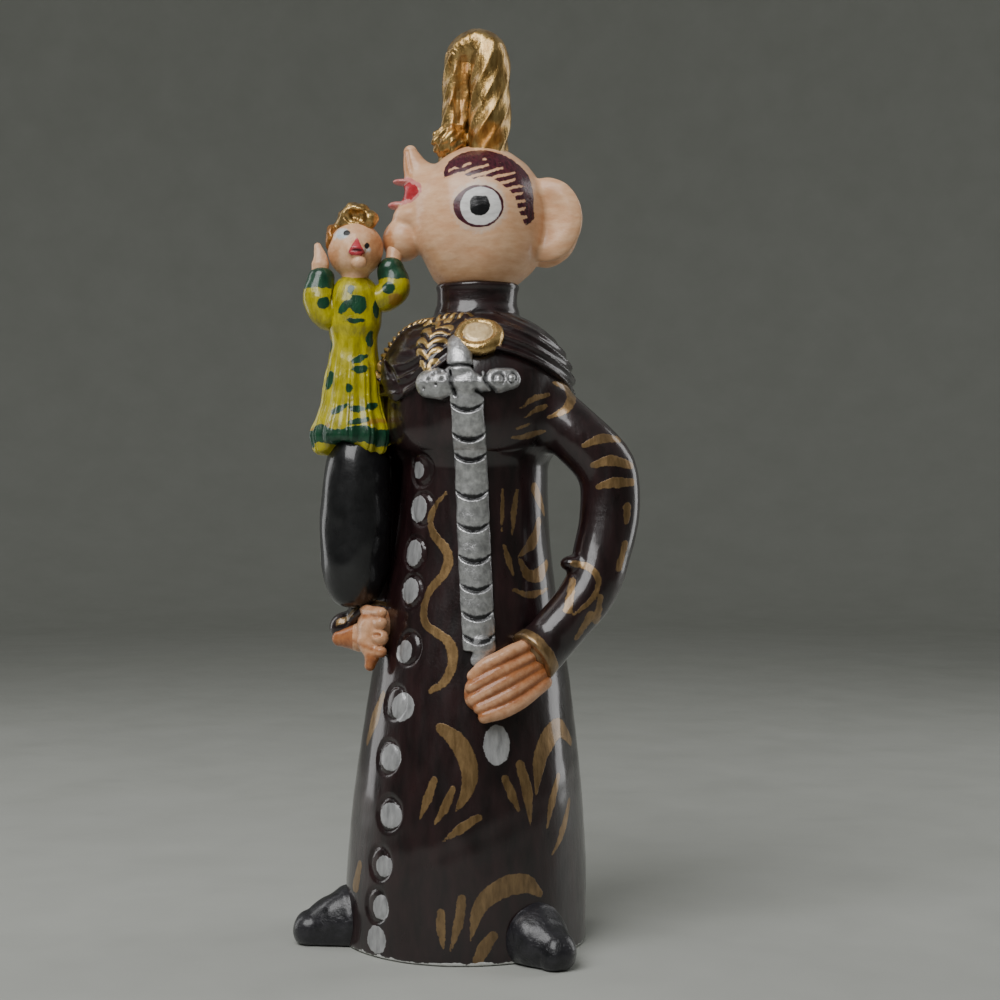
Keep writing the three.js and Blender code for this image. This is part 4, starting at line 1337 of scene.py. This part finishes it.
# %% Skin paint
halo_white = [(0.66, 0.48, 0.36), (0.82, 0.72, 0.63)]
eye_white = [(0.58, 0.57, 0.55), (0.82, 0.81, 0.79)]
mouth_red = [(0.34, 0.008, 0.016), (0.50, 0.03, 0.04)]
lip_rose = [(0.56, 0.13, 0.13), (0.74, 0.32, 0.28)]
skin_paint = finish(
    "head_paint", peach, roughness=0.36, streak=(2.4, 2.4, 0.8), streak_size=2.6, relief=0.06, grain=0.03,
    varnish=0.45, varnish_roughness=0.24,
    coats=[
        # painted shade on the chin's facet and the nose's flank
        dict(mark="shade", tones=painted_shade_peach, ragged=0.5, soft=0.6, cover=0.85, roughness=0.38),
        dict(mark="eye_halo", tones=halo_white, ragged=0.9, soft=0.9, cover=0.7),
        dict(mark="eye_white", tones=eye_white, ragged=0.1, roughness=0.3),
        dict(mark="eye_ring", tones=maroon, ragged=0.16, wander=3.0, roughness=0.3),
        dict(mark="pupil", tones=lamp_black, ragged=0.25, wander=3.0, roughness=0.12),
        dict(mark="brow", tones=maroon, ragged=0.22, wander=1.2, streak=(0.8, 0.8, 3), size=1.2,
             roughness=0.25),
        dict(mark="mouth", tones=mouth_red, ragged=0.2, roughness=0.25),
        dict(mark="lips", tones=lip_rose, ragged=0.3, roughness=0.3),
    ],
)
dressed(head, skin_paint)

# %% Paint of the hands, with painted shade
hand_peach = [(0.56, 0.27, 0.13), (0.76, 0.44, 0.26)]
painted_shade_hand = [(0.32, 0.09, 0.022), (0.47, 0.17, 0.055)]
places = surfaces["left_hand"]
# Painted shade: darker in the grooves between the fingers, where two finger ridges come close together.
off_fingers = [beside(places, curve(laid(line, 4.4), 10))[3] for line in left_fingers]
nearest, second = np.sort(off_fingers, axis=0)[:2]
mark(left_hand, "shade", second - nearest - 1.5)
places = surfaces["right_hand"]
# Painted shade: darker in the two grooves across the curled fingers, on the lower end of the pointing finger,
# and on the wrist inside the cuff.
high_groove = np.abs(places[:, 2] - 109.7) - 0.5
low_groove = np.abs(places[:, 2] - 100.6 + 0.29 * (places[:, 0] + 37)) - 0.5
grooves = np.minimum(high_groove, low_groove)
pointing = np.maximum(places[:, 2] - 97.5, -places[:, 0] - 34.6)
wrist = np.where(places[:, 0] < -39.4, -1.0, far_off)
mark(right_hand, "shade", np.minimum(np.minimum(grooves, pointing), wrist))
hand_paint = finish(
    "hand_paint", hand_peach, roughness=0.34, streak_size=3.0, relief=0.08, grain=0.03, varnish=0.45,
    coats=[dict(mark="shade", tones=painted_shade_hand, ragged=0.4, soft=0.8, cover=0.9)],
)
dressed(left_hand, hand_paint)
dressed(right_hand, hand_paint)

# %% [markdown]
# ## Curl of hair
# A roll with ridges is twisted, bent into a tall arch and gilded. Twisting is a matter of turning
# the ridged section as it goes along the line.

# %% Curl
curl_height = 43.0
curl_span = 9.0
curl_radius = 7.0
curl_foot = head_middle + head_height * 0.46
curl_bend = curl_foot + curl_height - curl_radius - curl_span / 2
curl_middle = -2.2
curl_right = curl_middle + curl_span / 2
curl_left = curl_middle - curl_span / 2
curl_arc = [
    (curl_middle + curl_span / 2 * math.cos(math.pi * share), 2 * (2 * share - 1),
     curl_bend + curl_span / 2 * math.sin(math.pi * share))
    for share in (0, 0.25, 0.5, 0.75, 1)
]
curl_line = [
    (curl_right - 0.4, -2.5, curl_foot - 4),
    (curl_right + 0.6, -2.5, (curl_foot + curl_bend) / 2),
    *curl_arc,
    (curl_left - 1.2, 2, (curl_foot + curl_bend) / 2),
    (curl_left - 2.6, 2, curl_foot - 4),
]
curl_widths = [curl_radius * share for share in (1, 1.02, 1, 0.94, 0.84, 0.78, 0.76)]
curl_twist = 29.0
channel_line = [(curl_left - 1.1, -5.5, 272), (curl_left - 0.7, -5.6, 284), (curl_left - 0.2, -5.0, 296)]


def curl_section(angle, share):
    """Four broad ridges with eight sharp edges between them, turning as the roll is twisted."""
    turn = 4 * angle - curl_twist * share
    pressed = 0.5 + 0.5 * np.sin(9 * share + angle + 0.4)
    return 0.965 + 0.035 * np.cos(turn) + (0.03 + 0.06 * pressed) * (1 - np.abs(np.sin(turn)))


def curl_field(places):
    """The ridged arch with a channel worked into its left leg and a lump at its left foot."""
    arch = roll(places, curl_line, curl_widths, facing=(0.3, -1, 0), count=60, shape=curl_section)
    channel = roll(places, channel_line, [2.2, 3.4, 2.0]) + 0.08 * np.cos(places[:, 0] * 4)
    lump = ball(places, (-10, -1, 269.6), (6, 6, 6)) + uneven(places, 2.6, 0.6, 41)
    whole = cut(arch, channel, 1.0)
    return joined(0.6, whole, lump) + uneven(places, 9, 0.2, 42)


curl = fired("hair_curl", curl_field, (-19, -14, curl_foot - 8), (12, 12, 309), 0.45)
places = surfaces["hair_curl"]
# Painted shade and painted reflection: the channel in the left leg and a patch low on the right leg, by the
# head, take a deeper amber, as where gold faces gold.
painted_reflection = length(places - [3.0, -8.5, 270.5]) - 4.6
mark(curl, "deep", np.minimum(roll(places, channel_line, [2.6, 3.8, 2.4]), painted_reflection))
hair_gold = [(0.26, 0.14, 0.036), (0.62, 0.42, 0.16)]
deep_amber = [(0.24, 0.085, 0.014), (0.48, 0.22, 0.045)]
hair_paint = finish(
    "hair_paint", hair_gold, metallic=0.9, roughness=0.33, streak=(1, 1, 3), streak_size=2.4, relief=0.16,
    grain=0.05, varnish=0.4,
    coats=[dict(mark="deep", tones=deep_amber, ragged=0.5, soft=0.9, metallic=0.6, roughness=0.4)],
)
dressed(curl, hair_paint)

# %% [markdown]
# ## Companion
# A small figure stands on the forearm: a black bag of a skirt, a pleated dress scored with a
# needle, arms thrown up and a round head. It is held against the robe and reaches to the chin.

# %% Companion's places
bag_radius = 12.0
bag_height = 54.0
dress_height = 58.0
dress_hem_radius = 13.8
dress_pleats = 12
sleeve_radius = 4.9
small_head_radius = 9.4
companion_across = -robe_waist_radius - bag_radius - 2.5
companion_away = -5.0
bag_bottom = right_wrist_height + 5
hem_height = bag_bottom + bag_height
companion_neck = hem_height + dress_height
small_head_middle = companion_neck + small_head_radius * 0.95
dress_across = companion_across - 2

# %% Bag-like skirt
def bag_field(places):
    middle = bag_bottom + bag_height * 0.5
    form = egg(places, (companion_across, companion_away, middle), bag_radius,
               bag_height * 0.62, bag_height * 0.5, 3, 2.8, 1.05)
    return form + uneven(places, 15, 0.3, 51)


bag = fired("companion_skirt", bag_field, (-54, -20, bag_bottom - 1), (-25, 10, hem_height + 8), 0.65)
places = surfaces["companion_skirt"]
edge_line = np.abs(places[:, 1] - companion_away + 1.5) - 0.35
edge_line = np.maximum(edge_line, places[:, 0] - companion_across + 8.5)
edge_line = np.maximum(edge_line, np.abs(places[:, 2] - 140) - 21)
mark(bag, "bare", edge_line)
bag_paint = finish("bag_paint", lamp_black, roughness=0.35, streak_size=6.0, relief=0.12, varnish=0.7,
                   coats=[dict(mark="bare", tones=chalk_white, ragged=0.4, wander=4.0, roughness=0.6)])
dressed(bag, bag_paint)

# %% Dress
dress_profile = [(0.0, 0.94), (0.04, 0.99), (0.09, 1.0), (0.24, 0.79), (0.40, 0.69), (0.60, 0.566),
                 (0.72, 0.665), (0.88, 0.63), (0.96, 0.45), (1.0, 0.25)]


def dress_field(places):
    """A bell with folds and scored lines below the waist, a plain bodice and a wavy hem."""
    offset = places - [dress_across, companion_away, hem_height]
    offset[:, 1] = offset[:, 1] / 0.86
    away = np.hypot(offset[:, 0], offset[:, 1])
    angle = np.arctan2(offset[:, 0], -offset[:, 1])
    up = offset[:, 2] / dress_height
    outline = curve([(h, r, 0) for h, r in dress_profile], 60)
    radius = dress_hem_radius * np.interp(up, outline[:, 0], outline[:, 1])
    skirt = np.clip((0.6 - up) / 0.6, 0, 1)
    radius = radius * (1 + 0.05 * np.minimum(1, skirt * 3) * np.cos(dress_pleats * angle))
    turn = (angle * dress_pleats / (2 * math.pi) + 0.5) % 1 - 0.5
    scored = press(turn * 2 * math.pi * away / dress_pleats, 0.42) * np.clip(skirt * 4 - 0.4, 0, 1)
    hem = 2.2 * np.cos(3 * angle + 0.6) - 0.6
    form = away - radius + 0.75 * scored
    form = within(form * 0.95, hem - offset[:, 2], 2.2)
    form = within(form, offset[:, 2] - dress_height, 1.0)
    return form + uneven(places, 8, 0.18, 53)


dress = fired("companion_dress", dress_field, (-58, -19, hem_height - 4), (-25, 9, companion_neck), 0.5)

# %% Arms of the companion
shoulder = companion_neck - 8
outer_arm = [
    (dress_across - 5, companion_away, shoulder),
    (dress_across - 9, companion_away - 1, shoulder - 5.5),
    (dress_across - 12, companion_away - 1.5, shoulder + 0.5),
    (dress_across - 11.5, companion_away - 1, shoulder + 6.4),
]
inner_arm = [
    (dress_across + 4, companion_away, shoulder + 0.5),
    (dress_across + 9.5, companion_away, shoulder + 0.5),
    (dress_across + 13.2, companion_away, shoulder + 4),
    (dress_across + 12, companion_away, shoulder + 9.6),
]
sleeve_widths = [sleeve_radius * share for share in (0.8, 1.05, 1.15, 0.95)]


def small_sleeves_field(places):
    outer = roll(places, outer_arm, sleeve_widths, facing=(0, -1, 0))
    inner = roll(places, inner_arm, sleeve_widths, facing=(0, -1, 0))
    return np.minimum(outer, inner) + uneven(places, 8, 0.2, 55)


sleeves_low = (-60, -14, shoulder - 12)
sleeves_high = (-20, 4, shoulder + 16)
sleeves = fired("companion_sleeves", small_sleeves_field, sleeves_low, sleeves_high, 0.5)

# %% Head and hands of the companion
face_across = dress_across - 0.2
face_front = companion_away - small_head_radius * 0.9
small_mouth = [(-40.5, face_front - 0.5, 231.6), (-40.4, face_front + 0.2, 234.8)]
outer_palm = [(-53.6, -6.5, 221.5), (-53.0, -7, 228.6), (-54.0, -6.5, 233.6)]
inner_palm = [inner_arm[-1], (-head_radius - 4, companion_away * 0.4, head_middle - 6)]


def small_head_field(places):
    """A round head with its chin and mouth, and both hands, which share its paint."""
    round_head = ball(places, (face_across, companion_away, small_head_middle - 0.4),
                      small_head_radius * np.array([1, 0.95, 1]))
    neck = ball(places, (dress_across, companion_away, companion_neck), (4.5, 4.5, 6))
    chin = ball(places, (-39.5, face_front, 227.2), (2.5, 2.2, 2.4))
    mouth = roll(places, small_mouth, [3.0, 0.9], flat=0.7, facing=(0, -1, 0.4))
    slit = roll(places, [(-42.0, face_front - 2.6, 231.1), (-38.8, face_front - 2.6, 230.8)], [0.5, 0.5])
    outer_hand = roll(places, outer_palm, [2.4, 3.0, 1.2], facing=(0, -1, 0), flat=0.6)
    inner_hand = roll(places, inner_palm, [2.6, 2.9, 2.6])
    whole = joined(1.2, round_head, neck, chin)
    whole = joined(0.6, whole, mouth, outer_hand, inner_hand)
    return cut(whole, slit, 0.4) + uneven(places, 6, 0.12, 57)


small_head = fired("companion_head", small_head_field, (-58, -18, companion_neck - 6), (-20, 6, 246), 0.42)

# %% Quiff of the companion
quiff_line = [
    (-46.0, companion_away + 1, 239.8),
    (-41.8, companion_away - 1, 243.6),
    (-37.2, companion_away - 2.5, 242.4),
]


def quiff_field(places):
    """A short roll over the forehead, scooped out and scored with spokes, and hair at the side."""
    form = roll(places, quiff_line, [3.4, 4.9, 3.4], facing=(0, -1, 0), flat=0.9)
    spokes = np.cos(9 * np.arctan2(places[:, 2] - 240.5, places[:, 0] + 42))
    scoop = ball(places, (-41.6, companion_away - 6.5, 243.2), (4.2, 4.2, 2.8)) + 0.35 * spokes
    side_hair = ball(places, (-49.6, companion_away, 236.3), (2.1, 4.6, 4.6))
    return joined(0.7, cut(form, scoop, 0.8), side_hair) + 0.15 * spokes + uneven(places, 2.6, 0.15, 59)


quiff = fired("companion_hair", quiff_field, (-56, -16, 228), (-32, 6, 252), 0.4)
# The same deeper amber coat lies on the quiff's left side, over the side hair.
mark(quiff, "deep", surfaces["companion_hair"][:, 0] + 48.4)
dressed(quiff, hair_paint)

# %% [markdown]
# ## Paint on the companion
# Its dress is yellow with green dabs, a green band at the hem and at each wrist, and a thin brown
# wash above the hem. One finish serves dress and sleeves, so both carry the same three marks.

# %% Paint on the dress
places = surfaces["companion_dress"]
offset = places - [dress_across, companion_away, hem_height]
turn = np.degrees(np.arctan2(offset[:, 0], -offset[:, 1]))
up = offset[:, 2]
away = np.hypot(offset[:, 0], offset[:, 1])


def dress_spots(spots):
    """Slanted ovals: angle from the front, height, half width, half height and slant."""
    nearest = unpainted(places)
    for angle, height, half_width, half_height, slant in spots:
        across = (np.radians((turn - angle + 180) % 360 - 180)) * away
        rise = up - height
        along = across * math.cos(slant) + rise * math.sin(slant)
        over = rise * math.cos(slant) - across * math.sin(slant)
        spot = (np.hypot(along / half_width, over / half_height) - 1) * min(half_width, half_height)
        nearest = np.minimum(nearest, spot)
    return nearest


green_spots = [
    (12, 47.6, 2.9, 3.2, 0.2), (-20, 46.6, 3.0, 1.5, 0.9), (6, 42, 3.8, 0.8, 0.0), (20, 29.4, 3.4, 1.2, 0.4),
    (20, 26, 2.8, 1.4, 0.0), (-4, 19.5, 1.3, 1.6, 0.0), (-58, 22, 1.5, 3.6, -0.3), (-24, 12.5, 3.6, 1.2, 0.5),
    (14, 12.6, 3.4, 1.1, 0.0), (44, 13.5, 2.6, 1.2, 0.2), (16, 8.4, 3.4, 1.1, 0.2), (60, 46, 1.6, 3.2, 0.0),
    (-78, 34, 1.4, 2.4, 0.0), (-8, 52.5, 1.2, 1.5, 0.0), (50, 36, 1.5, 2.8, 0.1),
] + [(120 + 38 * i, 14 + 11 * (i * 2 % 4), 2.6, 1.6, 0.5 * i) for i in range(4)]
mark(dress, "green", dress_spots(green_spots))
mark(dress, "band", np.abs(up - 3.6 - 0.8 * np.sin(np.radians(turn) * 5)) - 2.9)
brown_band = np.abs(up - 7.6 - 0.02 * turn) - 0.8
mark(dress, "brown", np.maximum(brown_band, 2 * np.sin(np.radians(turn) * 3 + 1.8)))
lemon_yellow = [(0.25, 0.215, 0.003), (0.56, 0.49, 0.008)]
leaf_green = [(0.004, 0.032, 0.016), (0.012, 0.080, 0.036)]
thin_brown = [(0.26, 0.09, 0.015), (0.38, 0.17, 0.02)]
dress_paint = finish(
    "dress_paint", lemon_yellow, roughness=0.34, streak=(1, 1, 3), streak_size=2.2, relief=0.12, grain=0.04,
    varnish=0.7,
    coats=[
        dict(mark="brown", tones=thin_brown, ragged=0.5, cover=0.7, soft=0.4),
        dict(mark="band", tones=leaf_green, ragged=0.5, wander=2.4),
        dict(mark="green", tones=leaf_green, ragged=0.35, wander=2.4),
    ],
)
dressed(dress, dress_paint)

# %% Paint on the small sleeves
places = surfaces["companion_sleeves"]
sleeve_dots = [
    ((-51.5, -10.8, 213.9), 1.7), ((-47, -9, 206), 1.2), ((-29.8, -10, 219.1), 1.6),
    ((-32.4, -10, 211), 1.5), ((-55, 2, 212), 1.8), ((-28, 1, 212), 1.8),
]
nearest = unpainted(places)
for centre, size in sleeve_dots:
    nearest = np.minimum(nearest, length(places - centre) - size - 0.6)
mark(sleeves, "green", nearest)
mark(sleeves, "band", np.where(places[:, 0] < dress_across, 219.2, 222.4) - places[:, 2])
mark(sleeves, "brown", np.maximum(length(places - [-27.5, -9, 215.4]) - 2.4, places[:, 1] + 5))
dressed(sleeves, dress_paint)

# %% [markdown]
# ## The small face
# It is only a few touches of the brush: a red triangle of a mouth, two black eyes over pale dabs
# and painted shade on one side. Each touch is an oval or a triangle as seen from the front.

# %% Paint on the small face
places = surfaces["companion_head"]


def dab(centre, half_width, half_height):
    """A dab of paint on the front of the small head."""
    reach = np.hypot((places[:, 0] - centre[0]) / half_width, (places[:, 2] - centre[1]) / half_height)
    return np.maximum((reach - 1) * min(half_width, half_height), places[:, 1] - companion_away + 2)


wide = np.interp(places[:, 2], [229.2, 230.4, 235.4], [1.6, 2.7, 0.2])
triangle = np.maximum(np.abs(places[:, 0] + 40.4) - wide, np.abs(places[:, 2] - 232.3) - 3.1)
mark(small_head, "mouth", np.maximum(triangle, places[:, 1] - companion_away + 4))
mark(small_head, "slit", dab((-40.2, 231.0), 1.7, 0.5))
mark(small_head, "eyes", np.minimum(dab((-43.8, 237.2), 1.3, 1.0), dab((-37.1, 232.8), 0.8, 1.05)))
mark(small_head, "white", np.minimum(dab((-45.6, 237.0), 2.7, 2.0), dab((-36.6, 231.4), 0.9, 0.8)))
# Painted shade on the face's right side and low on its left.
mark(small_head, "shade", np.minimum(dab((-34.4, 232.5), 2.4, 6.0), dab((-48.4, 229.5), 2.0, 4.0)))
blue_white = [(0.42, 0.48, 0.52), (0.76, 0.78, 0.78)]
doll_red = [(0.42, 0.02, 0.035), (0.58, 0.09, 0.10)]
slit_red = [(0.08, 0.004, 0.008), (0.12, 0.008, 0.012)]
small_head_paint = finish(
    "small_head_paint", peach, roughness=0.36, streak_size=3.0, relief=0.10, grain=0.03, varnish=0.22,
    coats=[
        dict(mark="shade", tones=painted_shade_peach, ragged=0.8, soft=1.0, cover=0.8, roughness=0.34),
        dict(mark="white", tones=blue_white, ragged=0.6, soft=0.5),
        dict(mark="eyes", tones=lamp_black, ragged=0.15, roughness=0.6),
        dict(mark="mouth", tones=doll_red, ragged=0.15, roughness=0.2),
        dict(mark="slit", tones=slit_red, ragged=0.1),
    ],
)
dressed(small_head, small_head_paint)
